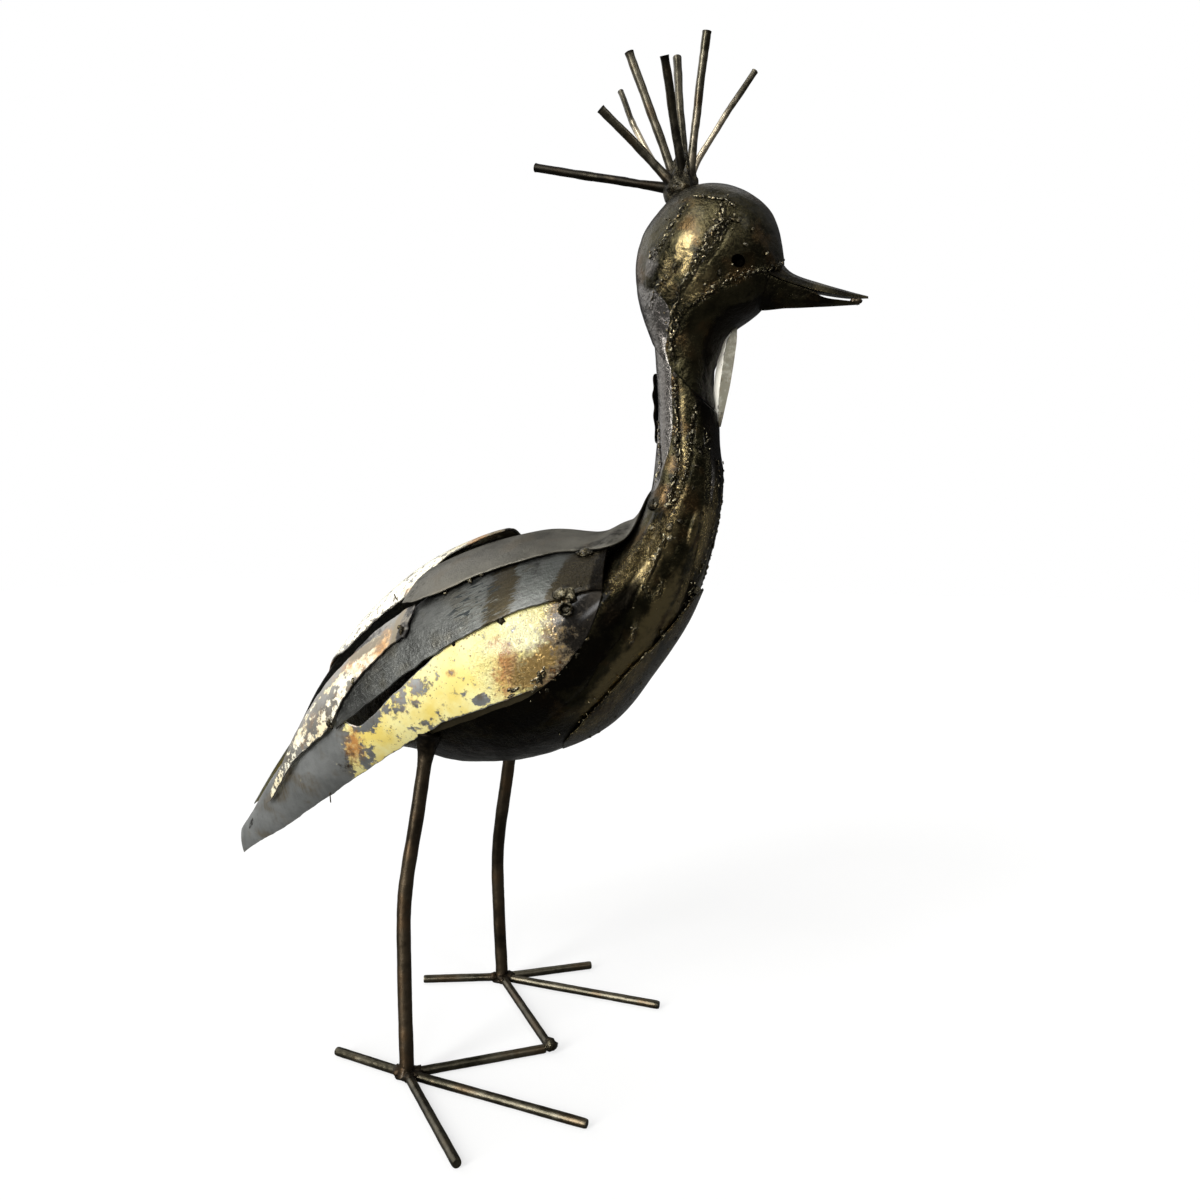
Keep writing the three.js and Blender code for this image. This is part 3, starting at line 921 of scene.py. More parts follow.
@dataclass(frozen=True)
class Paint(Finish):
    """Old paint on a steel strip, flaked off in patches and scorched by welding, with painted highlight and
    painted shade.
    """

    paint: Color
    pale: Color
    scorch: Color
    steel: Color
    steel_light: Color
    speck: Color = (0.22, 0.15, 0.07)
    rust: Color = (0.2, 0.17, 0.12)
    gilt: Color = (0.42, 0.32, 0.14)
    speck_size: float = 0.2
    roughness: float = 0.32
    coat: float = 0.35
    wear: float = 0.1
    metal: float = 0.8

    def surface(self, w: Wires, effects: Effects, here: Socket, sheet: Socket) -> dict[str, object]:
        """Paint where it holds and metal where it has gone, with their marked stains, painted highlight and
        painted shade.
        """
        cloud = w.noise(here, 60.0, detail=5.0, rough=0.6)
        fine = w.noise(here, 360.0, detail=5.0, rough=0.7)
        ragged = w.plus(w.swing(cloud, 0.8), w.swing(fine, 1.5))
        # The scorched mark also paints shade on the chin leaf's outer face.
        tint_share = w.ramp(w.plus(w.mark(Mark.SCORCH), ragged), 0.2, 0.85)
        # The sooted mark is partly painted shade, on the gold strip's front end.
        burnt = w.ramp(w.plus(w.mark(Mark.SOOT), ragged), 0.3, 0.8)
        burnished = w.ramp(w.plus(w.mark(Mark.GILDED), ragged), 0.3, 0.75)
        thin = w.larger(w.mark(Mark.BARE), self.wear)
        flaked, rim = w.group(effects.flaked, Vector=here, Mask=thin, Scale=300.0, Ragged=2.6)
        worn = w.group(effects.flaked, Vector=here, Mask=w.mark(Mark.EDGE), Scale=420.0, Ragged=1.6)[0]
        gone = w.larger(w.larger(flaked, w.times(worn, 0.9)), burnished)
        sizes = (420.0, 830.0)
        specks = [w.group(effects.specks, Vector=here, Scale=size, Size=self.speck_size)[0] for size in sizes]
        body = w.mix(w.ramp(cloud, 0.35, 0.65), self.paint, self.pale)
        # The pale mark is partly painted highlight and painted light.
        body = w.mix(w.times(w.mark(Mark.PALE), 0.9), body, self.pale)
        body = w.mix(burnt, w.mix(tint_share, body, self.scorch), BURNT_AND_SHADED_PAINT)
        body = w.mix(w.larger(w.times(rim, 0.5), w.times(w.larger(*specks), 0.8)), body, self.speck)
        bare = w.group(
            effects.patina, Vector=here, Scale=50.0, Deep=self.steel, Plain=self.steel_light, Warm=self.rust
        )[0]
        streak = w.group(effects.brushed, Vector=sheet, Along=6.0, Across=0.8)[0]
        metal = w.mix(burnt, w.mix(w.times(streak, 0.45), bare, self.steel_light), BURNT_AND_SHADED_STEEL)
        metal = w.mix(w.times(tint_share, 0.7), metal, self.scorch)
        metal = w.mix(w.times(burnished, w.minus(1.0, burnt)), metal, self.gilt)
        grain = w.times(w.mark(Mark.GRANULAR), GRANULAR_GRAIN)
        beaten = w.group(effects.beaten, Vector=here, Dents=0.5, Grain=grain, Grit=0.12)[0]
        return {
            "Base Color": w.mix(gone, body, metal),
            "Roughness": w.ramp(cloud, 0.3, 0.7, self.roughness, self.roughness + 0.15),
            "Metallic": w.times(gone, self.metal),
            "Coat Weight": self.coat,
            "Coat Roughness": 0.15,
            "Normal": self.relief(w, w.minus(beaten, w.times(gone, 0.15))),
        }


FINISHES: dict[Slot, Finish] = {
    # The lacquered sheet's gilt colour also paints the highlights on the head and the shoulder.
    Slot.LACQUERED: Steel(
        deep=(0.013, 0.012, 0.006), plain=(0.06, 0.051, 0.026), warm=(0.075, 0.046, 0.019),
        panel=(0.185, 0.172, 0.157), gilded=(0.25, 0.195, 0.092), roughness=(0.16, 0.3),
        coat=0.05, dents=0.9, grain=0.14,
    ),
    Slot.GREY: Steel(
        deep=(0.118, 0.111, 0.09), plain=(0.182, 0.172, 0.142), warm=(0.155, 0.135, 0.1),
        gilded=(0.08, 0.064, 0.033), roughness=(0.4, 0.56), coat=0.05,
    ),
    Slot.BLUE_GREY: Steel(
        deep=(0.075, 0.076, 0.07), plain=(0.12, 0.122, 0.112), warm=(0.09, 0.086, 0.07),
        panel=(0.108, 0.112, 0.102), gilded=(0.038, 0.03, 0.016), roughness=(0.34, 0.5),
        coat=0.08, streaks=0.16, brushy=0.9, blend=0.12,
    ),
    Slot.GOLD: Paint(
        paint=(0.86, 0.68, 0.17), pale=(0.93, 0.86, 0.4), scorch=(0.5, 0.23, 0.06),
        steel=(0.31, 0.318, 0.308), steel_light=(0.46, 0.47, 0.455),
        rust=(0.24, 0.19, 0.115), gilt=(0.46, 0.3, 0.1), metal=0.85,
    ),
    Slot.CREAM: Paint(
        paint=(0.8, 0.69, 0.42), pale=(0.92, 0.9, 0.75), scorch=(0.55, 0.29, 0.1),
        steel=(0.2, 0.185, 0.155), steel_light=(0.33, 0.32, 0.29),
        gilt=(0.25, 0.205, 0.135), wear=0.31, metal=0.6,
    ),
    # On the chin leaf the scorched colour is grey, partly stained and partly painted shade on its outer face.
    Slot.IVORY: Paint(
        paint=(0.76, 0.71, 0.58), pale=(0.9, 0.87, 0.77), scorch=(0.26, 0.245, 0.185),
        steel=(0.1, 0.1, 0.095), steel_light=(0.24, 0.24, 0.23),
        speck_size=0.1, roughness=0.55, coat=0.05, wear=0.0,
    ),
    Slot.DARK_ROD: Steel(
        deep=(0.035, 0.027, 0.017), plain=(0.085, 0.064, 0.04), warm=(0.1, 0.063, 0.033),
        roughness=(0.32, 0.5), coat=0.15, grain=0.05,
    ),
    # The bars' gilt colour is their painted highlight.
    Slot.OLIVE_ROD: Steel(
        deep=(0.04, 0.036, 0.023), plain=(0.14, 0.124, 0.088), warm=(0.09, 0.063, 0.035),
        gilded=(0.62, 0.53, 0.38), roughness=(0.28, 0.42), coat=0.1, grain=0.02, grit=0.04,
    ),
    Slot.WELD: Steel(
        deep=(0.05, 0.042, 0.024), plain=(0.4, 0.35, 0.22), warm=(0.22, 0.16, 0.07),
        roughness=(0.12, 0.22), coat=0.5, grain=0.3, scale=150.0,
    ),
}


class Palette:
    """The figure's materials by their slots."""

    def __init__(self) -> None:
        """Builds the materials."""
        effects = Effects()
        self.by_slot = {slot: finish.material(slot.value, effects) for slot, finish in FINISHES.items()}

    def __getitem__(self, slot: Slot) -> bpy.types.Material:
        """The slot's material."""
        return self.by_slot[slot]


# Sub-assemblies

NECK = (
    (95.3, 305.9, 121.6, 277.3, 14.6), (96.5, 290, 122, 266, 14.4), (97, 275, 123.5, 251, 15.4),
    (96.5, 259, 121, 230, 18.4),
)
TRUNK = (
    (95, 246, 115, 209, 23), (91, 236, 106.7, 190.2, 29), (83.3, 227, 92, 168.4, 36.5),
    (71, 223, 72.9, 145.7, 43.5), (45, 223.6, 42.6, 130.2, 46.3), (12, 214.2, 9, 125.3, 44.8),
)
TAIL = (
    (-20, 189, -16, 129, 37), (-48, 162, -42, 128, 25), (-70, 134, -66, 117, 11), (-83, 113, -81, 109, 2.5),
)
HEAD = (
    (94.2, 307.6, 122.8, 276.6, 15.9), (90.4, 317.5, 121.5, 291, 16.6), (87.8, 328, 125, 307.5, 20),
    (87.3, 339, 138, 317.3, 23.5), (90.6, 349.5, 146.6, 330.5, 25), (98.3, 358.8, 146.3, 342.5, 23.4),
    (105.8, 364.4, 142.8, 354.2, 19), (113.5, 366.4, 134.4, 362, 12), (120.5, 366.7, 125, 366.3, 2),
)
RIGHT_REAR = (
    (-22, 196, -24, 113, 41.5), (-53, 172, -50, 99, 35), (-80, 144, -74, 83, 26.5),
    (-103, 108, -99, 70, 17), (-121, 78, -117, 61, 8.5),
)
LEFT_REAR = (
    (71, 222.8, 72.9, 145.7, 42.5, 1), (45, 225.6, 42.6, 129, 40.5, 6), (13, 223.2, 9, 124, 30.5, 17),
    (-23, 209, -24, 114, 24.5, 20), (-51, 186.6, -50, 100, 22.5, 15.5), (-76, 153.6, -74, 84, 19.5, 8.5),
    (-99, 117, -99, 70, 14.5, 3.5), (-122, 79, -118, 61, 8, 1),
)
BODY_SHELL = Shell(NECK + TRUNK + TAIL)
HEAD_SHELL = Shell(HEAD)
RIGHT_WING = Shell(TRUNK + RIGHT_REAR)
LEFT_WING = Shell(TRUNK[:3] + LEFT_REAR, Side.LEFT)
THROAT_SOFT = 14.0
LEG_SEED, TOE_SEED, WELD_SEED, FILLET_SEED = 600, 620, 640, 690


@dataclass(frozen=True)
class Chain:
    """A row of weld beads that follows stations (place, angle) over a shell."""

    shell: Shell
    stations: Keys
    spacing: float = 1.0
    size: float = 0.0
    crowding: float = 1.3
    spatter_spacing: float = 2.6

    def along(self, at: Array) -> tuple[Array, Array]:
        """Place and angle at a share of the row's length, along the line through its stations."""
        s = np.array(self.stations, float)
        run = run_along(self.shell.point(s[:, 0], s[:, 1]))
        return np.interp(at * run[-1], run, s[:, 0]), np.interp(at * run[-1], run, s[:, 1])

    def points(self, at: Array) -> Array:
        """Points of the shell at a share of the row's length."""
        return self.shell.point(*self.along(at))

    def length(self) -> float:
        """The row's length."""
        return float(np.linalg.norm(np.diff(self.points(np.linspace(0, 1, 60)), axis=0), axis=1).sum())

    def nearness(self, points: Array, reach: float) -> Array:
        """1 on the row's line, falling with the squared distance from it, in reaches."""
        line = self.points(np.linspace(0, 1, 70))
        flat = points.reshape(-1, 3)
        square = (flat**2).sum(1)[:, None] + (line**2).sum(1)[None] - 2 * flat @ line.T
        return np.exp(-np.maximum(square.min(1), 0) / reach**2).reshape(points.shape[:-1])

    def beads(self, lift: float, seed: int) -> Form:
        """The beads at even steps, each a little aside and of its own size, with spatter.

        Args:
            lift: height of the surface that they sit on.
            seed: picks the small differences.

        Returns:
            All beads as one form.
        """
        rng = np.random.default_rng(seed)
        count = max(2, round(self.crowding * self.length() / self.spacing))
        at = np.clip((np.arange(count) + rng.uniform(-0.3, 0.3, count)) / (count - 1), 0, 1)
        place, angle = self.along(at)
        angle = angle + rng.normal(0, 1.5, count)
        ahead = self.points(at + 0.01) - self.points(at - 0.01)
        radius = self.size * rng.uniform(0.25, 1.0, count)
        foot, out = self.shell.point(place, angle, lift), self.shell.outwards(place, angle)
        row = lumps(foot, out, radius, radius * 0.6, seed + 1, 1.4, unit(ahead))
        spots = max(2, round(self.length() / self.spatter_spacing))
        place, angle = self.along(rng.uniform(0, 1, spots))
        place, angle = place + rng.normal(0, 0.14, spots), angle + rng.normal(0, 6.0, spots)
        radius = rng.uniform(0.25, 0.55, spots)
        foot, out = self.shell.point(place, angle, lift * 0.3), self.shell.outwards(place, angle)
        return joined([row, lumps(foot, out, radius, radius * 0.8, seed + 2)])

    def shifted(self, degrees: float) -> "Chain":
        """The same line further round the shell."""
        moved = tuple((p, a + degrees * (1 if a < 180 else -1)) for p, a in self.stations)
        return replace(self, stations=moved)

    def other_side(self) -> "Chain":
        """The same row on the other side of the middle plane, with fewer beads."""
        return replace(
            self, stations=tuple((p, 360 - a) for p, a in self.stations), spacing=self.spacing * 1.2
        )


def nearest(rows: list[Chain], points: Array, reach: float) -> Array:
    """Each point's nearness to the closest of several rows."""
    return np.maximum.reduce([row.nearness(points, reach) for row in rows])


def ridges(rows: list[Chain], at: Array, reach: float, seed: int) -> Array:
    """Height of the uneven ridge of weld metal under rows of beads."""
    return 0.5 * sum(row.nearness(at, reach) for row in rows) * (0.4 + 1.3 * unevenness(at, 1.2, seed))


def weld_grain(rows: list[Chain], at: Array, panel: Array, grain: float | Array = 0.0) -> Array:
    """Grain that is given or lies beside rows of beads, less on the smooth panel."""
    return np.maximum(grain, 0.7 * nearest(rows, at, 1.5)) * (1 - 0.85 * panel)


def tacks(shell: Shell, spots: Spots, lift: float, seed: int) -> Form:
    """Single tacks of weld.

    Args:
        shell: what carries them.
        spots: each tack's place, angle and radius.
        lift: height of the surface that they sit on.
        seed: picks their wavering.

    Returns:
        All tacks as one form.
    """
    place, angle, radius = np.array(spots, float).T
    centre, out = shell.point(place, angle, lift), shell.outwards(place, angle)
    return lumps(centre, out, radius, radius * 0.7, seed, 0.5, soot=(0.4, 0.85))


@dataclass
class Torso:
    """Breast, belly, back and neck, beaten from panels and welded along rows of beads."""

    rows: int = 380
    sides: int = 216
    dents: Layers = ((0.34, 13, 3), (0.16, 5.5, 4), (0.09, 3.0, 5))
    grey_border: Keys = ((0, 79), (0.83, 78), (1.98, 73), (2.79, 62), (3.41, 54), (4, 30), (13, 0))
    grey_end: float = 3.9
    panel: tuple[Daub, ...] = (Daub(1.9, 151, 0.9, 6, 0.62, 0.8), Daub(1.3, 136, 0.3, 3, 0.6, 0.8))
    # Below this border the neck's front is painted dark as shade.
    throat_border: Keys = (
        (0, 116), (0.25, 122), (0.6, 127), (1.2, 136), (1.8, 148), (2.4, 165), (2.9, 195), (13, 195),
    )
    seams: tuple[Keys, ...] = (
        ((5.1, 97), (5.39, 100), (5.89, 115), (6.41, 116), (6.77, 123), (7.22, 126), (7.48, 132)),
        ((3.4, 146), (3.75, 148), (4.32, 160), (4.66, 163)),
        ((4.5, 88), (5.0, 84), (5.4, 84)),
    )
    keel_edge: Keys = ((4.1, 158), (4.7, 160), (5.24, 161), (6.0, 158), (6.6, 147), (7.2, 146))
    # The daubs at places 4.6 and 5.4 lighten the shoulder where its highlight falls: painted highlight.
    gilded: tuple[Daub, ...] = (
        Daub(0.9, 97, 0.8, 8, 0.5, 0.8), Daub(2.1, 98, 0.9, 10, 0.6, 0.8), Daub(3.6, 98, 0.9, 14, 0.7, 0.8),
        Daub(4.6, 88, 0.8, 20, 0.8, 0.9), Daub(5.4, 72, 0.6, 12, 0.8, 0.9),
        Daub(5.0, 130, 1.0, 14, 0.75, 0.8), Daub(6.1, 138, 1.0, 12, 0.8, 0.6),
        Daub(3.2, 131, 0.4, 7, 0.6, 0.8), Daub(4.5, 152, 0.9, 10, 0.75, 0.8),
        Daub(3.3, 152, 0.9, 12, 0.7, 0.8), Daub(2.4, 160, 0.8, 12, 0.6, 0.9),
    )
    granular: tuple[Daub, ...] = (
        Daub(4.1, 82, 0.55, 14), Daub(4.8, 73, 0.5, 10), Daub(5.5, 68, 0.5, 10), Daub(5.85, 76, 0.3, 9),
        Daub(3.1, 91, 0.5, 9, 0.8), Daub(2.0, 150, 1.2, 14, 0.7), Daub(3.4, 150, 1.0, 14, 0.6),
    )
    # Painted shade under the chin, along the back strip's lower edge, round and under the wing strips, on the
    # belly and under the tail.
    soot: tuple[Daub, ...] = (
        Daub(0.2, 172, 0.35, 14), Daub(5.75, 94, 0.7, 12, 0.9, 0.5), Daub(6.7, 106, 0.8, 13, 0.9, 0.5),
        Daub(7.8, 118, 0.8, 20, 0.8, 0.6), Daub(5.4, 45, 0.9, 12, 0.7), Daub(8.4, 150, 1.6, 25, 0.7),
        Daub(9.2, 110, 1.2, 25, 0.7),
    )
    rows_of_beads: tuple[tuple[Keys, float, float], ...] = (
        (
            ((0.2, 84), (0.8, 85), (1.4, 85), (1.95, 84), (2.2, 91), (2.47, 92), (2.75, 85), (3.3, 86)), 1.7,
            0.75,
        ),
        (
            ((0.3, 123), (0.6, 120), (1.2, 112), (1.6, 107), (2.1, 106), (2.5, 101), (2.8, 97), (3.1, 90)),
            2.1, 0.75,
        ),
        (((1.0, 142), (1.3, 140), (1.6, 121), (1.7, 127)), 3.2, 0.7),
        (((3.9, 95), (4.2, 95), (4.4, 94), (4.6, 96), (4.9, 97)), 1.6, 0.8),
        (
            ((1.6, 165), (2.2, 165), (2.6, 168), (2.9, 171), (3.2, 173), (3.75, 168), (4.3, 160), (4.7, 163)),
            4.4, 0.6,
        ),
        (((2.0, 30), (2.4, 38), (2.8, 51), (3.2, 47)), 4.0, 0.7),
        (((4.6, 115), (4.8, 119), (5.0, 113), (5.05, 100)), 2.6, 0.75),
        (((5.5, 118), (5.6, 121), (5.72, 126)), 1.0, 0.5),
    )
    single_beads: Spots = (
        (3.86, 56, 2.3), (3.7, 64, 1.5), (3.31, 86, 1.3), (4.12, 74, 1.3), (3.65, 97, 1.5), (3.8, 102, 1.2),
        (3.33, 108, 1.1), (4.22, 95, 1.0), (7.19, 105, 0.8), (7.32, 110, 1.1), (5.21, 148, 0.7),
        (2.08, 119, 0.7), (2.55, 117, 0.8),
    )
    bumps: tuple[tuple[float, tuple[Daub, ...]], ...] = (
        (1.2, (Daub(3.25, 131, 0.35, 6),)),
        (1.5, (Daub(4.9, 69, 1.0, 5, 1, 0.8), Daub(4.0, 83, 0.5, 7, 1, 0.8))),
        (-1.1, (Daub(4.3, 112, 0.9, 8, 1, 0.8), Daub(5.2, 88, 0.7, 8, 1, 0.8))),
    )
    crack_shift: float = 4.5
    bead_lift: float = 0.4
    bead_seed: int = 20

    def chains(self) -> list[Chain]:
        """The rows of beads on both sides."""
        near = [Chain(BODY_SHELL, *row) for row in self.rows_of_beads]
        return near + [row.other_side() for row in near[:6]]

    def cracks(self) -> list[Chain]:
        """The groove beside each row of beads, and the open seams, both painted dark as shade."""
        seams = [Chain(BODY_SHELL, seam) for seam in self.seams]
        beside = [row.shifted(self.crack_shift) for row in self.chains()]
        return beside + seams + [seam.other_side() for seam in seams]

    def keel_gaps(self) -> list[Chain]:
        """The shadowed gap along both edges of the breast strip."""
        near = Chain(BODY_SHELL, self.keel_edge)
        return [near, near.other_side()]

    def relief(self, place: Array, angle: Array) -> Array:
        """Height over the shell.

        Three sizes of random dents, plus a low ridge along each row of beads, less
        a groove along each crack, plus the bumps and hollows.

        Args:
            place: the points' places.
            angle: the points' angles.

        Returns:
            One height for each point.
        """
        at = BODY_SHELL.point(place, angle)
        height = layered(at, self.dents) + ridges(self.chains(), at, 1.2, 6)
        height -= 0.5 * sum(crack.nearness(at, 0.9) for crack in self.cracks())
        return height + sum(rise * daubed(place, angle, daubs) for rise, daubs in self.bumps)

    def marks(self, place: Array, angle: Array, at: Array) -> Marks:
        """What the sheet is painted with.

        Args:
            place: the points' places.
            angle: their angles from the back line on either side.
            at: the points.

        Returns:
            The marks.
        """
        grey = below(place, angle, self.grey_border) * (place < self.grey_end)
        panel = np.maximum(daubed(place, angle, self.panel), grey)
        # Painted shade in the daubs, the grooves beside the beads and the open seams, on the throat and in
        # the keel strip's gaps.
        soot = np.maximum.reduce(
            [
                daubed(place, angle, self.soot), 0.9 * nearest(self.cracks(), at, 0.8),
                1.0 - below(place, angle, self.throat_border, THROAT_SOFT),
                1.1 * nearest(self.keel_gaps(), at, 2.4),
            ],
        )
        grain = weld_grain(self.chains(), at, panel, daubed(place, angle, self.granular))
        gilded = daubed(place, angle, self.gilded)
        return {Mark.PANEL: panel, Mark.GILDED: gilded, Mark.GRANULAR: grain, Mark.SOOT: soot}

    def build(self, palette: Palette) -> None:
        """Shapes and dresses the torso with its beads."""
        steel = palette[Slot.LACQUERED]
        place, angle, mirrored = BODY_SHELL.grid(self.rows, self.sides)
        rings = BODY_SHELL.point(place, angle, self.relief(place, angle))
        sheet = tube(rings, self.marks(place, mirrored, rings))
        put("torso_and_neck", sheet, Slot.LACQUERED, steel, "torso_neck_shell")
        beads = [row.beads(self.bead_lift, self.bead_seed + 2 * k) for k, row in enumerate(self.chains())]
        beads.append(tacks(BODY_SHELL, self.single_beads, self.bead_lift, 60))
        put("torso_beads", joined(beads), Slot.WELD, palette[Slot.WELD], crease=BEAD_CREASE)
        put("neck_flap", self.flap(), Slot.LACQUERED, steel)

    def flap(self) -> Form:
        """The curled edge of the neck's back panel, lifted off the shell towards its free side.

        Its height over the neck grows with the square of the share across it, and
        its two ends lie down again as a half sine does.

        Returns:
            The form.
        """
        thickness = 0.9
        t, s = np.meshgrid(np.linspace(0, 1, 70), np.linspace(0, 1, 18), indexing="ij")
        place = 0.75 + 1.8 * t
        angle = -8 + (26 + 5 * np.sin(9 * t)) * s
        curl = np.sin(np.pi * t) ** 0.6 * (0.4 + 2.0 * s**2) * (1 - 0.5 * t) + 0.3 * np.sin(21 * t) * s
        curl = curl + 0.25 * unevenness(BODY_SHELL.point(place, angle, curl), 3.5, 17) * s
        outer = BODY_SHELL.point(place, angle, curl + thickness)
        inner = BODY_SHELL.point(place, angle, curl)
        # Near-black all over: painted shade on the curled edge.
        return plate(outer, inner, {Mark.SOOT: 0.9 * np.ones_like(s)})


@dataclass
class Head:
    """The head with drilled eyes, rows of beads, the folded beak and the leaf under the chin."""

    rows: int = 300
    sides: int = 280
    dents: Layers = ((0.3, 11, 7), (0.18, 4.5, 8), (0.07, 2.4, 9))
    eye: tuple[float, float] = (134.0, 332.0)
    eye_radius: float = 2.35
    eye_depth: float = 5.0
    eye_rim: float = 0.5
    throat_depth: float = 1.7
    crack_shift: float = 4.0
    bead_lift: float = 0.35
    bead_seed: int = 70
    shoulder_width: float = 0.62
    shoulder_drop: float = 0.35
    near_reach: float = 0.74
    near_spread: float = 0.6
    far_reach: float = 1.3
    far_spread: float = 0.15
    grey_border: Keys = (
        (0, 78), (0.59, 79), (1.11, 87), (1.81, 94), (2.1, 85), (2.28, 72), (2.45, 52), (2.7, 20), (3, -10),
        (8, -10),
    )
    # Below this border the throat and chin are painted dark as shade.
    throat_border: Keys = (
        (0, 130), (0.4, 136), (0.85, 144), (1.05, 144), (1.4, 141), (2.2, 142), (2.63, 141), (2.9, 148),
        (3.2, 158), (3.5, 168), (3.75, 174), (4.1, 195), (8, 195),
    )
    # The first two daubs lighten the sheet where the head's highlight falls: painted highlight.
    gilded: tuple[Daub, ...] = (
        Daub(3.75, 83, 0.42, 6, 0.95, 0.6), Daub(3.3, 91, 0.35, 5, 0.8, 0.8),
        Daub(2.6, 108, 0.6, 8, 0.5, 0.9), Daub(2.8, 78, 0.8, 12, 0.5, 0.9),
    )
    panel: tuple[Daub, ...] = (Daub(3.0, 58, 0.85, 13, 0.52, 0.7),)
    # Darkens the front and lower face round the beak's root.
    soot: tuple[Daub, ...] = (Daub(3.9, 152, 1.6, 34, 0.42, 0.6),)
    rows_of_beads: tuple[tuple[Keys, float, float], ...] = (
        (((5.07, 66), (4.6, 66), (4.14, 64), (3.5, 61), (3.2, 57)), 1.9, 0.7),
        (
            (
                (5.4, 102), (4.86, 105), (4.46, 101), (4.09, 99), (3.66, 97), (3.3, 96), (2.57, 95),
                (1.76, 98), (1.1, 92), (0.5, 92),
            ),
            1.35,
            0.85,
        ),
        (
            (
                (4.3, 172), (3.91, 156), (3.77, 146), (3.59, 139), (3.38, 129), (3.01, 120), (2.77, 117),
                (2.15, 109), (1.3, 98),
            ),
            1.8,
            0.75,
        ),
        (((5.0, 112), (4.6, 108), (4.3, 106), (3.9, 104), (3.5, 101)), 1.8, 0.7),
        (((5.53, 72), (5.58, 91), (5.63, 104), (5.5, 112)), 2.0, 0.7),
        (((3.22, 83), (2.58, 76), (2.15, 71), (1.59, 62)), 4.2, 0.6),
    )
    single_beads: Spots = (
        (4.3, 128, 0.8), (5.15, 115, 0.7), (5.05, 120, 0.9), (4.89, 133, 0.7), (4.09, 167, 1.9),
        (3.62, 138, 0.9), (3.38, 117, 1.0), (2.98, 118, 0.9), (4.3, 149, 0.8),
    )
    upper: Rows = (
        (138.5, 340.6, 331.5, 13.5), (142, 337.6, 329.8, 10.3), (147, 334.3, 327.2, 8.2),
        (151.3, 330.4, 325.5, 6.6), (159.4, 326.7, 322.7, 5), (171.5, 322.2, 319.5, 2.6),
        (180, 319.3, 318.5, 0.6),
    )
    lower: Rows = (
        (136, 317.2, 332.1, 13), (140.5, 316.8, 330.2, 10.2), (147, 317, 326.9, 7.8),
        (151.3, 316.8, 325.2, 6.4), (159.4, 316.6, 322.1, 4.8), (165, 316.5, 319.2, 3.6),
        (176.8, 316.3, 317.2, 1.2),
    )
    leaf: Rows = (
        (129.2, 311.8, 1.2, 1.0), (129, 305, 4.6, 3.2), (127.9, 296, 5.0, 4.0), (126, 286, 4.4, 3.4),
        (124.2, 277.5, 2.6, 2.2), (122.9, 271.9, 0.8, 0.8),
    )
    tip_welds: Spots = ((176.2, -0.6, 317.6), (174.6, -1.0, 317.9))

    def chains(self) -> list[Chain]:
        """The rows of beads on both sides."""
        near = [Chain(HEAD_SHELL, *row) for row in self.rows_of_beads]
        return near + [row.other_side() for row in near]

    def cracks(self) -> list[Chain]:
        """The groove beside each row of beads, painted dark as shade."""
        return [row.shifted(self.crack_shift) for row in self.chains()]

    def relief(self, place: Array, angle: Array, mirrored: Array) -> Array:
        """Height over the shell.

        Three sizes of random dents, plus a low ridge along each row of beads, less
        a groove beside it, less the hollows at the sheet's rim on the sides and the
        throat.

        Args:
            place: the points' places.
            angle: the points' angles.
            mirrored: their angles from the back line on either side.

        Returns:
            One height for each point.
        """
        at = HEAD_SHELL.point(place, angle)
        height = layered(at, self.dents) + ridges(self.chains(), at, 1.1, 10)
        height -= 0.35 * sum(row.nearness(at, 0.7) for row in self.cracks())
        height -= self.throat_depth * step(70, 95, mirrored) * np.exp(-((place / 1.2) ** 2))
        return height - self.throat_depth * step(120, 150, mirrored) * step(1.7, 1.1, place)

    def drilled(self, points: Array) -> tuple[Array, Array]:
        """The sheet's points with the eyes drilled.

        Points within the eye's radius of its axis are moved inwards by the hole's
        depth, and those next to it are drawn onto the circle, so that the rim is
        round.

        Args:
            points: the sheet's points.

        Returns:
            The points moved, and how far each was from the eyes' axis.
        """
        away = points - np.array([self.eye[0] + GROUND_TO_ORIGIN[0], 0, self.eye[1]])
        away[..., 1] = 0
        reach = np.linalg.norm(away, axis=-1)
        on_rim = np.abs(reach - self.eye_radius) < self.eye_rim
        scale = np.where(on_rim, self.eye_radius / np.maximum(reach, 1e-6), 1.0)
        points = points + away * (scale - 1)[..., None]
        side = np.sign(points[..., 1] - GROUND_TO_ORIGIN[1])
        inside = reach < self.eye_radius - self.eye_rim
        points[..., 1] -= np.where(inside, side * self.eye_depth, 0.0)
        return points, reach

    def skull(self) -> Form:
        """The head's sheet with its drilled eyes and its marks."""
        place, angle, mirrored = HEAD_SHELL.grid(self.rows, self.sides)
        points, reach = self.drilled(HEAD_SHELL.point(place, angle, self.relief(place, angle, mirrored)))
        grey = below(place, mirrored, self.grey_border) * step(3.2, 1.2, place)
        panel = np.maximum(daubed(place, mirrored, self.panel), grey)
        # Painted shade in the grooves beside the beads, on the throat and inside the drilled eyes.
        soot = np.maximum.reduce(
            [
                daubed(place, mirrored, self.soot), 0.8 * nearest(self.cracks(), points, 0.6),
                1.0 - below(place, mirrored, self.throat_border, THROAT_SOFT),
                2.0 * (reach < self.eye_radius - 0.15),
            ],
        )
        return tube(points, {
            Mark.PANEL: panel, Mark.GILDED: daubed(place, mirrored, self.gilded), Mark.SOOT: soot,
            Mark.GRANULAR: weld_grain(self.chains(), points, panel),
        })

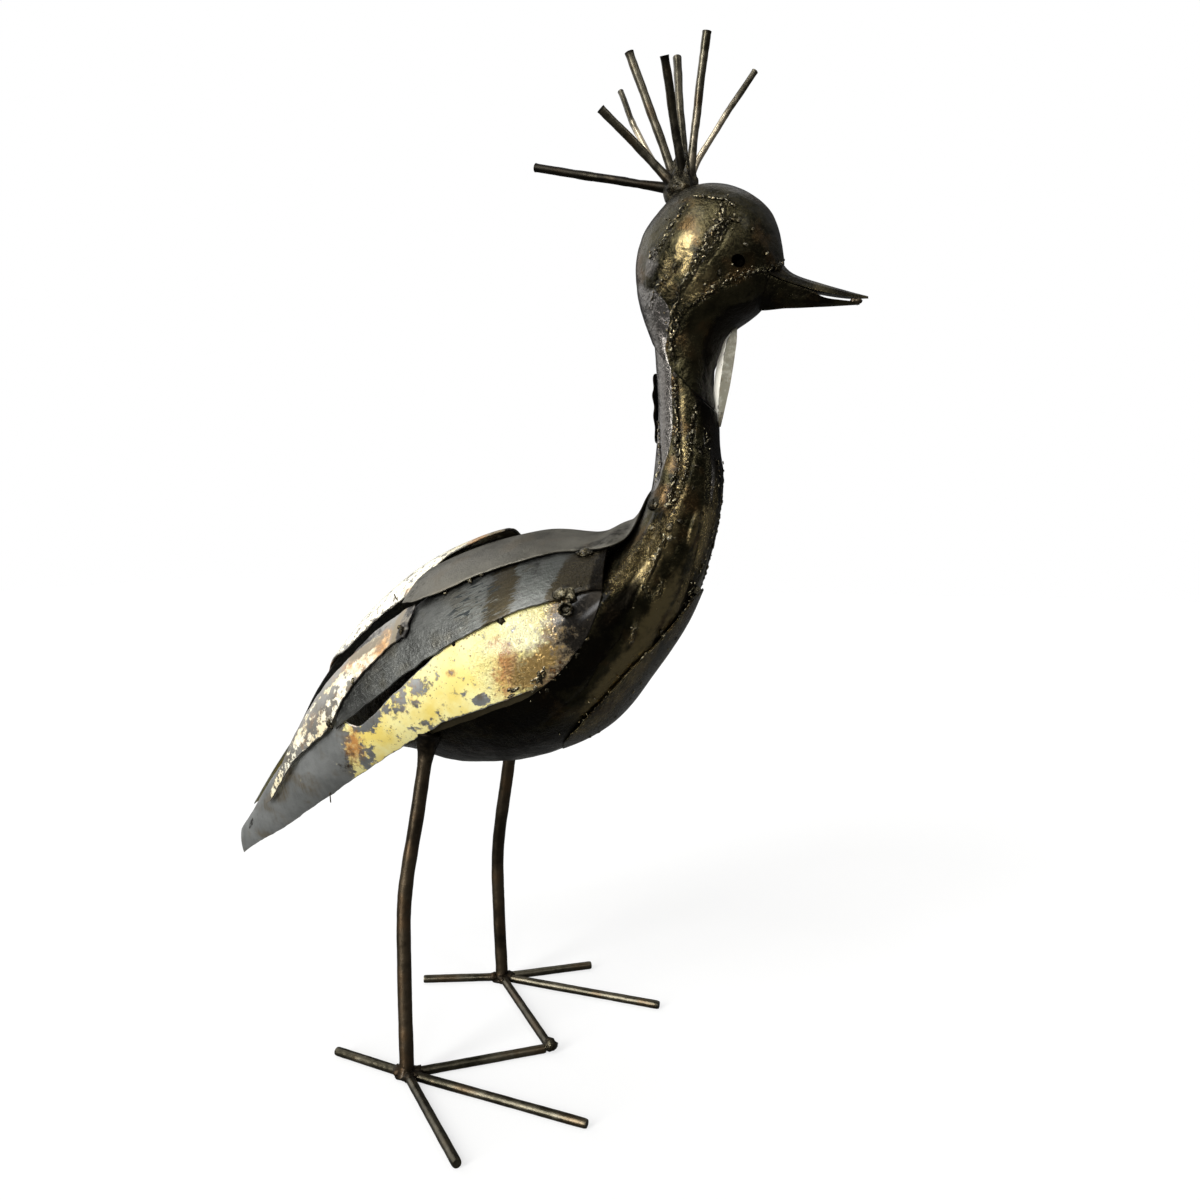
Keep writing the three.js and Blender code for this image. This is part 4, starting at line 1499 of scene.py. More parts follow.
    def beak_half(self, rows: Rows, seed: int) -> Form:
        """One half of the beak: a sheet folded at its ridge and again at a shoulder.

        A row gives x, the ridge's height, the open edges' height and the half width.
        The rows are joined by a smooth curve, and the five corners by straight runs.

        Args:
            rows: the half's rows from root to tip.
            seed: picks its dents.

        Returns:
            The form.
        """
        x, ridge, edge, half = spline(np.array(rows, float), np.linspace(0, 1, 70)).T
        shoulder = ridge + (edge - ridge) * self.shoulder_drop
        narrow = half * self.shoulder_width
        profile = ((0 * x, ridge), (narrow, shoulder), (half, edge), (-half, edge), (-narrow, shoulder))
        corners = np.stack([np.stack([x, y, z], -1) for y, z in profile], 1)
        share = np.arange(40) / 40 * len(profile)
        i = share.astype(int)
        w = (share - i)[None, :, None]
        ring = corners[:, i] * (1 - w) + corners[:, (i + 1) % len(profile)] * w
        ring = 0.75 * ring + 0.125 * (np.roll(ring, 1, 1) + np.roll(ring, -1, 1))
        thin_out = np.array([0, 1, 1]) * np.minimum(half, 3)[:, None, None] / 3
        ring = ring + 0.1 * unevenness(ring, 5, seed)[..., None] * thin_out
        root = step(14, 2, x - x[0])[:, None, None]
        dark = 0.6 + 0.3 * unevenness(ring, 9, seed + 5)[..., None] + 0.2 * root
        return tube(ring + GROUND_TO_ORIGIN, {Mark.SOOT: dark, Mark.GILDED: 0.45 - 0.5 * dark})

    def chin_leaf(self) -> Form:
        """The leaf: two halves folded back from a crease, the near half the narrower.

        A point lies behind the crease by the half's reach times how far across it
        is, and beside the middle plane by the half's spread times the same.

        Returns:
            The form, ivory inside, lightened as painted light, and grey outside, partly stained and partly
            painted shade, with a stained tip.
        """
        x, z, back, spread = spline(np.array(self.leaf, float), np.linspace(0, 1, 70)).T[:, :, None]
        across = np.linspace(-1, 1, 33)[None, :]
        far = across > 0
        fold = np.abs(across) ** 0.92
        y = np.where(far, self.far_spread, -self.near_spread) * spread * fold
        behind = back * fold * np.where(far, self.far_reach, self.near_reach)
        outer = np.stack([x - behind, y, z + 0 * fold], -1)
        outer = outer + 0.12 * unevenness(outer, 6, 11)[..., None] * np.array([1, 0, 0])
        wall = np.minimum(0.7, back * 0.5) + 0 * fold
        inner = outer - np.stack([0.9 * wall, 0.5 * wall * np.sign(across), 0 * wall], -1)
        down = np.linspace(0, 1, 70)[:, None] + 0 * fold
        tint_share = step(0.86, 1.0, down)
        rim = step(0.9, 1.0, np.abs(across)) + 0 * down
        # Outside, the scorched mark greys the face, partly as painted shade; inside, the pale mark lightens
        # the ivory as painted light.
        outside = {
            Mark.BARE: 0.2 + 0.3 * tint_share, Mark.EDGE: 0.6 * rim, Mark.SOOT: tint_share * 0.9,
            Mark.SCORCH: 0.8 + 0.2 * tint_share, Mark.PALE: 0 * down,
        }
        inside = {
            Mark.BARE: 0 * down, Mark.SCORCH: 0.5 * tint_share - 0.4, Mark.EDGE: 0.3 * rim,
            Mark.PALE: 1 + 0 * down,
        }
        return plate(outer + GROUND_TO_ORIGIN, inner + GROUND_TO_ORIGIN, outside, inside)

    def build(self, palette: Palette) -> None:
        """Shapes and dresses the head with all that hangs on it."""
        steel = palette[Slot.LACQUERED]
        put("head_sheet", self.skull(), Slot.LACQUERED, steel, "head_shell", crease=50)
        put("beak_top", self.beak_half(self.upper, 12), Slot.LACQUERED, steel, "beak_upper", crease=30)
        put("beak_bottom", self.beak_half(self.lower, 13), Slot.LACQUERED, steel, "beak_lower", crease=30)
        tip = np.array(self.tip_welds) + GROUND_TO_ORIGIN
        blob = lumps(tip, np.stack([UP, UP]), np.array([1.7, 1.2]), np.array([1.2, 0.9]), 98)
        put("beak_tip_weld", blob, Slot.DARK_ROD, palette[Slot.DARK_ROD], crease=BEAD_CREASE)
        put("chin_leaf", self.chin_leaf(), Slot.IVORY, palette[Slot.IVORY], "wattle", crease=30)
        beads = [row.beads(self.bead_lift, self.bead_seed + 2 * k) for k, row in enumerate(self.chains())]
        beads.append(tacks(HEAD_SHELL, self.single_beads, 0.3, 99))
        put("head_beads", joined(beads), Slot.WELD, palette[Slot.WELD], crease=BEAD_CREASE)


class Gauge(Enum):
    """The crown's two thicknesses of bar."""

    THICK = 3.5
    THIN = 2.6


@dataclass(frozen=True)
class Bar:
    """One bar of the crown: where it starts, bends and ends, how it is stained, and how strong a highlight is
    painted on it.
    """

    points: Spots
    soot: float
    gilded: float
    gauge: Gauge = Gauge.THICK


@dataclass
class Crown:
    """The mound of weld on the head with eight bars fanned out of it."""

    centre: Spot = (105.8, 0, 367.2)
    radii: Spot = (7.2, 6.6, 7.8)
    lumps: Layers = ((0.8, 3.2, 31), (0.45, 1.4, 32))
    ribs: int = 7
    rib_depth: float = 0.16
    taper: float = 0.12
    stretch: float = 0.9
    sway: float = 0.55
    root_flare: float = 1.1
    tip_burr: float = 0.12
    bars: tuple[Bar, ...] = (
        Bar(((102, 0.7, 368.4), (39.5, 3, 385.5)), 0.85, 0.0),
        Bar(((102.5, -3, 369.6), (92.9, -7, 380.4), (77.4, -18, 396.6)), 0.35, 0.0),
        Bar(((101, 3.2, 370), (87.7, 9, 387.8), (72.2, 20, 418.8)), 0.0, 1.0, Gauge.THIN),
        Bar(((103.3, 0.4, 370), (86.2, -9, 420.5)), 0.3, 0.2),
        Bar(((106.9, -1.2, 370), (104.4, -20, 411.6)), 0.55, 0.0),
        Bar(((106.7, 1.9, 371), (98.1, 18, 427.9)), 0.15, 0.3),
        Bar(((108.6, 0.2, 370), (117.1, -5, 425)), 0.2, 0.3),
        Bar(((107.5, 5, 369), (109.4, 8, 380), (130.6, 21, 418.5)), 0.0, 0.9, Gauge.THIN),
    )

    def mound(self) -> Form:
        """An ellipsoid drawn up to a ribbed cone, with two sizes of random lump."""
        polar, round_it = np.meshgrid(
            np.linspace(0.02, np.pi - 0.02, 60), np.linspace(0, 2 * np.pi, 80, endpoint=False), indexing="ij"
        )
        level = np.sin(polar)
        out = np.stack([level * np.cos(round_it), level * np.sin(round_it), np.cos(polar)], -1)
        at = out * np.array(self.radii)
        above = np.maximum(out[..., 2:], 0)
        ribbed = 1 + self.rib_depth * above * np.cos(self.ribs * round_it)[..., None]
        flat = np.array([1, 1, 0.0]) * (1 - self.taper * above) * ribbed
        skin = at * (flat + UP * (1 + self.stretch * above)) + out * layered(at, self.lumps)[..., None]
        return tube(skin + np.array(self.centre) + GROUND_TO_ORIGIN, {Mark.SOOT: 0.8 + 0 * above})

    def rod(self, bar: Bar, number: int) -> Form:
        """One bar, swaying a little, flared at its root and burred at its tip.

        Args:
            bar: the bar.
            number: its number, which picks its unevenness.

        Returns:
            The form, sooted at both ends, with a painted highlight on its lower part.
        """
        path = bent_path(np.array(bar.points, float), 70) + GROUND_TO_ORIGIN
        along = np.linspace(0, 1, len(path))
        sway = np.stack([unevenness(path + 50 * axis, 14, 120 + number) for axis in range(3)], -1)
        path = path + self.sway * np.sin(np.pi * along)[:, None] * sway
        thickness = bar.gauge.value / 2 * (1 + layered(path, ((0.07, 6, 100), (0.05, 2.2, 110)), number))
        thickness += self.root_flare * np.exp(-along / 0.07) + self.tip_burr * np.exp((along - 1) / 0.008)
        form = rod(path, thickness, LEFTWARDS)
        down = np.concatenate([np.repeat(along, 20), [0, 1]])[:, None]
        form.marks[Mark.SOOT] = bar.soot + 0.6 * np.exp(-down / 0.12) + 0.5 * np.exp((down - 1) / 0.02)
        # Painted highlight, strongest near the root.
        form.marks[Mark.GILDED] = bar.gilded * step(1.0, 0.3, down)
        return form

    def build(self, palette: Palette) -> None:
        """Shapes and dresses the mound and the bars."""
        put("crown_mound", self.mound(), Slot.WELD, palette[Slot.WELD], "crown_weld", crease=BEAD_CREASE)
        for k, bar in enumerate(self.bars, 1):
            put(f"crown_bar_{k}", self.rod(bar, k), Slot.OLIVE_ROD, palette[Slot.OLIVE_ROD], f"crown_rod_{k}")


def level(lift: float) -> Keys:
    """One height all along a shell."""
    return (0, lift), (10, lift)


def rimmed(count: int, lip: float, inset: float) -> Array:
    """Shares from 0 to 1, one of them a lip inside each end and the rest even between."""
    middle = np.linspace(inset * lip, 1 - inset * lip, count - 4)
    return np.concatenate([[0, lip], middle, [1 - lip, 1]])


@dataclass(frozen=True)
class Edges:
    """Where a strip lies on a shell: its two ends, and its low and high edge along them."""

    start: float
    end: float
    low: Keys
    high: Keys


@dataclass(frozen=True)
class Strip:
    """A strip of sheet steel bent over a shell between two edges."""

    name: str
    node: str
    slot: Slot
    shell: Shell
    edges: Edges
    lift: Keys
    seed: int
    marks: Daubs
    bare_below: Keys = ()
    ragged: float = 0.45
    rows: int = 200
    columns: int = 44
    lip: float = 0.012
    end_lip: float = 0.002

    def form(self) -> Form:
        """The strip as a closed plate.

        A row's angles run from the low edge's to the high edge's, and both edges
        waver as a cut by hand does. The plate is half as thick at its very edge.

        Returns:
            The form.
        """
        edges = self.edges
        t, s = np.meshgrid(
            rimmed(self.rows, self.end_lip, 3), rimmed(self.columns, self.lip, 2.5), indexing="ij"
        )
        place = edges.start + (edges.end - edges.start) * t
        low, high = keyed(edges.low, place), keyed(edges.high, place)
        angle = low + (high - low) * s
        rough = self.shell.point(place, angle, keyed(self.lift, place))
        jag = 1.3 * self.ragged * layered(rough, ((1.0, 5.0, 0), (0.5, 1.7, 1)), self.seed)
        angle = angle + jag * (np.exp(-s / 0.08) - np.exp(-(1 - s) / 0.08))
        bite = 0.02 * self.ragged * unevenness(rough, 3.0, self.seed + 2)
        place = place + bite * (np.exp(-t / 0.02) + np.exp(-(1 - t) / 0.02))
        wave = layered(rough, ((0.14, 16, 3), (0.05, 6, 4)), self.seed)
        lift = keyed(self.lift, place) + SHEET / 2 + wave
        rim = np.minimum(np.minimum(s, 1 - s) / self.lip, np.minimum(t, 1 - t) / self.end_lip)
        half = SHEET / 2 * (0.5 + 0.5 * np.clip(rim, 0, 1))
        outer = self.shell.point(place, angle, lift + half)
        inner = self.shell.point(place, angle, lift - half)
        across = np.cumsum(np.linalg.norm(np.diff(outer, axis=1, prepend=outer[:, :1]), axis=-1), 1)
        along = np.cumsum(np.linalg.norm(np.diff(outer, axis=0, prepend=outer[:1]), axis=-1), 0)
        along = along[:, self.columns // 2, None] + 0 * across
        inside = np.minimum(np.minimum(across, across[:, -1:] - across), np.minimum(along, along[-1] - along))
        marks = {mark: daubed(place, angle, daubs) for mark, daubs in self.marks.items()}
        if self.bare_below:
            marks[Mark.BARE] = np.maximum(marks[Mark.BARE], 0.9 * below(place, angle, self.bare_below, 5.0))
        marks[Mark.EDGE] = np.exp(-inside / 0.7)
        marks[Mark.SHEET] = np.stack([along, across, 0 * across + self.seed * 37], -1) / 10
        return plate(outer, inner, marks)

    def build(self, palette: Palette) -> None:
        """Shapes and dresses the strip."""
        put(self.name, self.form(), self.slot, palette[self.slot], self.node, crease=35)


LINING_LOW: Keys = ((3.2, 105), (3.6, 110.5), (4.1, 113.5), (4.85, 122), (5.4, 126))
LINING_HIGH: Keys = ((3.2, 97), (4.2, 104), (5.4, 113))
LOWER_LOW: Keys = (
    (2.04, 76), (2.34, 89), (2.81, 98), (3.27, 105), (3.93, 108.5), (4.67, 115), (5.15, 121.5),
    (6.07, 129.5), (6.89, 131.5), (7.58, 129), (8.38, 124.5), (9.7, 108),
)
LOWER_HIGH: Keys = (
    (2.04, 64), (2.9, 52), (4, 58), (4.65, 77), (5.17, 88), (5.63, 96.5), (5.95, 101), (6.15, 97),
    (6.5, 84), (7, 78), (8, 78), (9.12, 73), (9.7, 61),
)
MIDDLE_LOW: Keys = (
    (1.98, 74), (2.4, 66.5), (2.87, 62.5), (3.29, 64), (3.93, 69), (4.63, 78), (5.17, 85), (5.75, 91),
    (6.4, 94),
)
MIDDLE_HIGH: Keys = ((1.98, 38), (2.9, 24), (4, 32), (4.8, 40), (5.4, 50), (6, 68), (6.4, 80))
UPPER_LOW: Keys = (
    (5.28, 66), (5.51, 67), (5.75, 71.5), (6.07, 77), (6.3, 83), (6.5, 90.5), (7.05, 91), (7.43, 90.5),
    (7.72, 92), (8.16, 96.5), (8.36, 94),
)
UPPER_HIGH: Keys = (
    (5.28, 48), (5.59, 50), (5.95, 52), (6.23, 56.5), (6.59, 60), (6.95, 65.5), (7.37, 74), (7.88, 85),
    (8.36, 92),
)
LEFT_UPPER_LOW: Keys = ((4.8, 24), (5.4, 40), (6.4, 48), (7.2, 40), (8, 6))
LEFT_UPPER_HIGH: Keys = (
    (4.8, -8), (5.2, -16), (5.55, -22), (5.8, -34), (6.04, -42), (6.5, -44), (7.2, -43), (7.6, -26), (8, -2),
)
LEFT_MIDDLE_LOW: Keys = (
    (1.98, 73), (2.45, 65), (2.95, 60.5), (3.33, 62), (3.95, 68), (4.73, 78), (5.5, 84), (6.5, 82),
    (7.6, 66), (8.4, 40), (8.9, 18),
)
LEFT_MIDDLE_HIGH: Keys = ((1.98, 42), (2.9, 32), (4, 30), (5, 14), (6, 2), (7.2, -10), (8.2, -8), (8.9, 6))
LEFT_LOWER_LOW: Keys = (
    (2.04, 76), (2.34, 89), (2.81, 98), (3.27, 105), (3.93, 108.5), (4.67, 114), (5.15, 118), (6.07, 119),
    (6.89, 117), (7.58, 114), (8.38, 110), (9.7, 98),
)
LEFT_LOWER_HIGH: Keys = (
    (2.04, 64), (2.9, 52), (4, 58), (4.88, 70), (6, 72), (7, 52), (7.9, 26), (8.8, 2), (9.7, -20),
)
MANTLE_LOW: Keys = (
    (0, 5), (0.6, 30), (1.18, 45), (1.98, 43), (2.77, 34), (3.29, 33), (3.83, 40), (4.51, 45.5),
    (4.89, 49), (5.3, 48), (5.5, 45),
)
MANTLE_HIGH: Keys = ((0, -5), (0.8, -30), (2, -36), (3, -26), (4, -14), (4.7, -8), (5.5, -6))
MANTLE_LIFT: Keys = ((0, 0.4), (1.2, 1.6), (1.98, 5.4), (3.2, 5.4), (4.6, 5.9), (5.5, 7.8))
BREAST_HALF: Keys = ((0.1, 9), (0.5, 14), (0.9, 22), (1.9, 35), (2.5, 38), (2.9, 37), (3.4, 24), (3.6, 8))
BREAST_LIFT: Keys = ((0.1, 1.6), (0.7, 0.8), (1.5, 0.6), (3.1, 0.5), (3.6, -0.4))
GOLD_MARKS: Daubs = {
    Mark.BARE: (
        Daub(4.17, 105.5, 0.13, 3.2, 1, 0.2), Daub(4.57, 91, 0.05, 1.4, 0.8, 0.6),
        Daub(5.45, 97, 0.5, 8, 0.55, 0.9), Daub(5.08, 93, 0.3, 5, 0.7, 1), Daub(5.8, 101, 0.3, 6, 0.8, 1),
        Daub(8.25, 100, 2.0, 90, 1, 0.12), Daub(6.0, 121, 0.16, 9, 0.7, 1), Daub(5.0, 116, 0.5, 3, 0.5, 1),
    ),
    Mark.GILDED: (Daub(2.2, 97, 1.58, 19, 1, 0.3), Daub(2.2, 76, 1.12, 40, 1, 0.3)),
    Mark.SCORCH: (
        Daub(3.8, 94, 0.2, 13, 0.8, 0.9), Daub(3.95, 80, 0.12, 5, 0.5, 0.9),
        Daub(6.15, 110, 0.2, 12, 0.75, 0.8), Daub(5.4, 97, 0.6, 9, 0.3, 0.6), Daub(4.57, 91, 0.1, 2.4, 0.6),
        Daub(3.3, 100, 0.5, 10, 0.4, 0.9),
    ),
    # The front daubs are partly burnt metal and partly painted shade where the strip's front end curves away
    # from the light.
    Mark.SOOT: (
        Daub(1.9, 84, 1.2, 60, 1, 0.5), Daub(6.33, 117, 0.2, 9, 0.5, 0.9), Daub(2.95, 102, 0.5, 9, 0.7, 0.9),
        Daub(9.1, 87, 0.12, 5, 0.6), Daub(2.85, 72, 0.25, 8, 0.75, 1), Daub(2.7, 88, 0.4, 20, 0.45, 0.9),
    ),
    # Painted highlight, whitening the strip where the lamps' glare falls.
    Mark.PALE: (
        Daub(3.75, 76, 0.3, 9, 0.9, 0.8), Daub(4.3, 82, 0.5, 10, 0.6, 0.8), Daub(5.2, 94, 0.8, 9, 0.4, 0.8),
    ),
    Mark.GRANULAR: (Daub(3.2, 84, 0.8, 28, 0.9), Daub(3.9, 84, 0.4, 20, 0.5)),
}
CREAM_MARKS: Daubs = {
    Mark.BARE: (
        Daub(5.38, 58, 0.16, 14), Daub(6.93, 80, 0.22, 8, 0.8, 1), Daub(6.05, 77, 0.15, 4, 0.8, 1),
        Daub(8.3, 95, 0.14, 12, 0.9), Daub(7.6, 84, 0.3, 5, 0.7, 1), Daub(7.2, 88, 0.3, 4, 0.7, 1),
        Daub(6.5, 80, 0.12, 5, 0.7, 1), Daub(6.7, 73, 0.35, 6, 0.8, 0.8),
    ),
    Mark.GILDED: (Daub(5.4, 57, 0.14, 14, 0.9, 0.4), Daub(5.9, 60, 0.4, 4, 0.85, 0.7)),
    Mark.SCORCH: (
        Daub(5.64, 63, 0.16, 8, 0.9, 0.8), Daub(5.9, 66, 0.3, 9, 0.5, 1), Daub(7.0, 86, 0.3, 4, 0.5, 1),
        Daub(6.2, 62, 0.4, 5, 0.6, 1), Daub(6.8, 78, 0.9, 6, 0.35, 1),
    ),
    Mark.SOOT: (Daub(6.5, 54, 0.9, 4, 0.8), Daub(5.34, 58, 0.1, 20, 0.8)),
    Mark.PALE: (Daub(6.3, 78, 0.4, 9, 0.8), Daub(7.4, 86, 0.5, 7, 0.8)),
}
CREAM_BORDER: Keys = (
    (5.28, 68), (5.45, 61), (5.6, 58), (6.0, 59), (6.4, 65), (6.9, 70), (7.3, 76), (7.7, 84), (8.1, 89),
    (8.36, 92),
)
LEFT_CREAM_MARKS: Daubs = {
    Mark.BARE: (
        Daub(5.1, -16, 0.25, 5, 0.8, 0.8), Daub(7.95, 0, 0.2, 40, 0.8), Daub(6.6, 30, 0.4, 9, 0.8, 1),
        Daub(5.9, 10, 0.3, 9, 0.7, 1), Daub(7.1, 10, 0.3, 8, 0.8, 1), Daub(6.2, 44, 0.8, 5, 0.7, 1),
    ),
    Mark.GILDED: (Daub(4.7, 5, 0.4, 60, 1, 0.3), Daub(5.2, 18, 0.2, 9, 0.7, 0.8)),
    Mark.SCORCH: (
        Daub(5.15, -12, 0.2, 20, 0.8, 0.8), Daub(7.8, 0, 0.3, 20, 0.6), Daub(5.6, 30, 0.3, 9, 0.6, 1),
        Daub(6.0, -38, 0.3, 5, 0.5, 1),
    ),
    Mark.SOOT: (Daub(4.75, 5, 0.12, 40, 0.6), Daub(6.4, -45, 0.8, 2.5, 0.8)),
    Mark.PALE: (Daub(6.6, -20, 1.0, 40, 0.9),),
}
STREAKED_MARKS: Daubs = {
    Mark.GILDED: (Daub(2.3, 57, 1.0, 40, 1, 0.15), Daub(4.02, 52, 0.24, 26, 0.85, 0.5)),
    Mark.PANEL: (
        Daub(3.83, 42, 0.08, 7, 0.9, 0.5), Daub(3.68, 50, 0.09, 6, 0.9, 0.5),
        Daub(3.36, 44, 0.15, 13, 0.85, 0.4), Daub(3.5, 58, 0.17, 6, 0.6, 0.6),
        Daub(4.38, 57, 0.26, 14, 0.55, 0.7),
    ),
    Mark.SOOT: (
        Daub(2.05, 60, 0.35, 30, 0.8), Daub(3.62, 43, 0.07, 8, 0.45, 0.5), Daub(2.95, 60, 0.15, 6, 0.5, 0.9),
    ),
    Mark.DASHES: (Daub(4.4, 57, 0.35, 13),),
    Mark.GRANULAR: (Daub(2.4, 55, 0.7, 20, 0.5),),
}
BREAST_SEAM: Keys = ((2.5, 92), (2.85, 97), (3.2, 103), (3.5, 105))
LINING_MARKS: Daubs = {Mark.GILDED: (Daub(4.2, 108, 2, 20),)}
MANTLE_MARKS: Daubs = {
    Mark.SOOT: (
        Daub(1.7, 34, 0.9, 12, 0.5, 0.8), Daub(2.6, 32, 0.5, 5, 0.6, 0.8), Daub(5.4, 30, 0.14, 30, 0.4, 0.8),
    ),
}
KEEL_MARKS: Daubs = {
    Mark.GILDED: (
        Daub(0.9, 160, 0.7, 12, 0.4, 0.9), Daub(2.0, 150, 0.9, 14, 0.55, 0.9),
        Daub(2.9, 152, 0.5, 10, 0.5, 0.9),
    ),
    Mark.GRANULAR: (Daub(2.0, 180, 2.2, 60, 0.5),),
}
KEEL_SHELL = Shell(TRUNK)
LINING = Edges(3.2, 5.4, LINING_LOW, LINING_HIGH)


@dataclass(frozen=True)
class Wing:
    """One wing's strips, from the lowest layer to the highest."""

    shell: Shell
    seed: int
    lower: Edges
    middle: Edges
    upper: Edges
    cream_marks: Daubs
    cream_border: Keys = ()

    def strips(self) -> list[Strip]:
        """The four strips."""
        side, shell, seed = self.shell.side.name.lower(), self.shell, self.seed
        return [
            Strip(f"{side}_lining_strip", f"wing_{side}_lining", Slot.GREY, shell, LINING,
                  level(LINING_LIFT), seed, LINING_MARKS, rows=90, columns=14),
            Strip(f"{side}_gold_strip", f"wing_{side}_lower", Slot.GOLD, shell, self.lower,
                  level(LOWER_LIFT), seed + 10, GOLD_MARKS),
            Strip(f"{side}_streaked_strip", f"wing_{side}_middle", Slot.BLUE_GREY, shell, self.middle,
                  level(MIDDLE_LIFT), seed + 20, STREAKED_MARKS),
            Strip(f"{side}_cream_strip", f"wing_{side}_upper", Slot.CREAM, shell, self.upper,
                  level(UPPER_LIFT), seed + 30, self.cream_marks, self.cream_border, ragged=0.7),
        ]


@dataclass
class Wings:
    """Both wings, the back strip, the keel strip on the breast and what tacks them down."""

    right: Wing = Wing(
        RIGHT_WING, 200, Edges(2.04, 9.7, LOWER_LOW, LOWER_HIGH), Edges(1.98, 6.4, MIDDLE_LOW, MIDDLE_HIGH),
        Edges(5.28, 8.36, UPPER_LOW, UPPER_HIGH), CREAM_MARKS, CREAM_BORDER,
    )
    left: Wing = Wing(
        LEFT_WING, 300, Edges(2.04, 9.7, LEFT_LOWER_LOW, LEFT_LOWER_HIGH),
        Edges(1.98, 8.9, LEFT_MIDDLE_LOW, LEFT_MIDDLE_HIGH),
        Edges(4.8, 8.0, LEFT_UPPER_LOW, LEFT_UPPER_HIGH), LEFT_CREAM_MARKS,
    )
    stub_radius: float = 0.28

    def strips(self) -> list[Strip]:
        """Every strip, in the order in which they lie on one another."""
        low, high = (tuple((place, 180 + way * half) for place, half in BREAST_HALF) for way in (-1, 1))
        mantle, keel = Edges(0, 5.5, MANTLE_LOW, MANTLE_HIGH), Edges(0.1, 3.6, low, high)
        return self.right.strips() + self.left.strips() + [
            Strip("back_strip", "mantle_strip", Slot.GREY, RIGHT_WING, mantle,
                  MANTLE_LIFT, 400, MANTLE_MARKS, ragged=0.3),
            Strip("keel_strip", "breast_strip", Slot.LACQUERED, KEEL_SHELL, keel,
                  BREAST_LIFT, 410, KEEL_MARKS, rows=130),
        ]

    @staticmethod
    def hollow(shell: Shell, place: float, angle: float, radius: float, seed: int) -> Form:
        """A burnt-through blob on top of a streaked strip, its hollow darkened with painted shade."""
        at = np.array([place]), np.array([angle])
        return crater(shell.point(*at, MIDDLE_LIFT + SHEET)[0], shell.outwards(*at)[0], radius, seed)

    def stub(self, shell: Shell, place: float, angle: float, lift: float, lean: Spot) -> Form:
        """An end of thin wire left standing off a strip's edge."""
        foot = shell.point(np.array(place), np.array(angle), lift)
        path = foot + np.linspace(0, 1, 8)[:, None] * np.array(lean)
        return rod(path, np.full(8, self.stub_radius), LEFTWARDS, 8)

    def right_welds(self) -> list[Form]:
        """The tacks, beads and burnt hollows on the right wing and the back strip."""
        shell = self.right.shell
        spots = (
            (((3.95, 69.5, 1.7), (4.57, 77, 0.9), (6.33, 89, 0.9)), LOWER_LIFT + SHEET, 500),
            (((3.02, 60, 3.5), (2.86, 63, 2.4), (3.14, 62, 1.9), (2.65, 60, 1.1), (2.4, 50, 0.7),
              (2.2, 60, 0.8), (2.3, 66, 0.8)), MIDDLE_LIFT + SHEET / 2, 501),
            (((2.83, 34, 2.5), (2.7, 36.5, 1.7), (2.95, 35, 1.3), (3.5, 33, 1.1), (4.41, 43, 1.5),
              (4.55, 45.5, 1.4), (4.86, 49, 1.1)), UPPER_LIFT, 510),
            (((5.36, 62, 1.5), (5.42, 59, 1.0), (6.05, 75, 1.1), (6.5, 88, 1.5), (6.45, 91, 1.1)),
             UPPER_LIFT + SHEET, 502),
        )
        return [
            *(tacks(shell, *row) for row in spots),
            Chain(shell, BREAST_SEAM, 1.3, 0.8).beads(LOWER_LIFT, 503),
            self.hollow(shell, 2.91, 70.5, 2.8, 506), self.hollow(shell, 5.36, 60, 1.9, 507),
            Chain(shell, ((3.28, 99), (3.36, 101), (3.46, 102.3)), 0.8, 1.5).beads(LOWER_LIFT + SHEET, 515),
            Chain(shell, ((3.7, 103.6), (3.79, 104.6)), 0.8, 1.2).beads(LOWER_LIFT + SHEET, 518),
        ]

    def keel_welds(self) -> list[Form]:
        """The tacks and beads on the keel strip."""
        edge = ((0.3, 167), (0.9, 159), (1.9, 146), (2.5, 143), (3.0, 145))
        ridge = ((0.3, 178), (1.2, 176), (2.2, 172), (3.2, 174))
        spots = (
            (0.12, 170, 2.1), (0.2, 178, 1.5), (0.3, 165, 1.1), (1.2, 152, 0.7), (1.9, 146, 0.8),
            (2.6, 143, 0.7),
        )
        return [
            tacks(KEEL_SHELL, spots, 1.6, 509), Chain(KEEL_SHELL, edge, 2.4, 0.7).beads(1.3, 511),
            Chain(KEEL_SHELL, ridge, 4.5, 0.7).beads(1.5, 514),
        ]

    def left_welds(self) -> list[Form]:
        """The tacks, beads and burnt hollow on the left wing."""
        shell = self.left.shell
        spots = ((3.95, 69.5, 1.7), (3.0, 59, 2.1), (5.4, 40, 1.3), (6.4, 46, 1.4), (4.6, 30, 1.3))
        return [
            tacks(shell, spots, MIDDLE_LIFT + SHEET, 504),
            Chain(shell, BREAST_SEAM, 1.3, 0.8).beads(LOWER_LIFT, 505),
            self.hollow(shell, 2.95, 68, 2.4, 508),
        ]

    def build(self, palette: Palette) -> None:
        """Shapes and dresses the strips, then tacks them down."""
        for strip in self.strips():
            strip.build(palette)
        stubs = [
            self.stub(self.right.shell, 6.95, 128.5, LOWER_LIFT + 0.5, (0.6, -0.4, -5.0)),
            self.stub(self.left.shell, 6.25, -42, UPPER_LIFT + 0.5, (-1.8, -0.5, 3.4)),
        ]
        put("wire_stubs", joined(stubs), Slot.DARK_ROD, palette[Slot.DARK_ROD])
        right = joined(self.right_welds() + self.keel_welds())
        put("right_wing_tacks", right, Slot.WELD, palette[Slot.WELD], crease=BEAD_CREASE)
        put("left_wing_tacks", joined(self.left_welds()), Slot.WELD, palette[Slot.WELD], crease=BEAD_CREASE)


class Toe(Enum):
    """A foot's toes."""

    MIDDLE = "middle"
    OUTER = "outer"
    BACK = "back"
    INNER = "inner"


@dataclass(frozen=True)
class Leg:
    """One leg's bends from the ground up, and where its toes' tips lie."""

    side: Side
    bends: Spots
    tips: dict[Toe, tuple[float, float]]


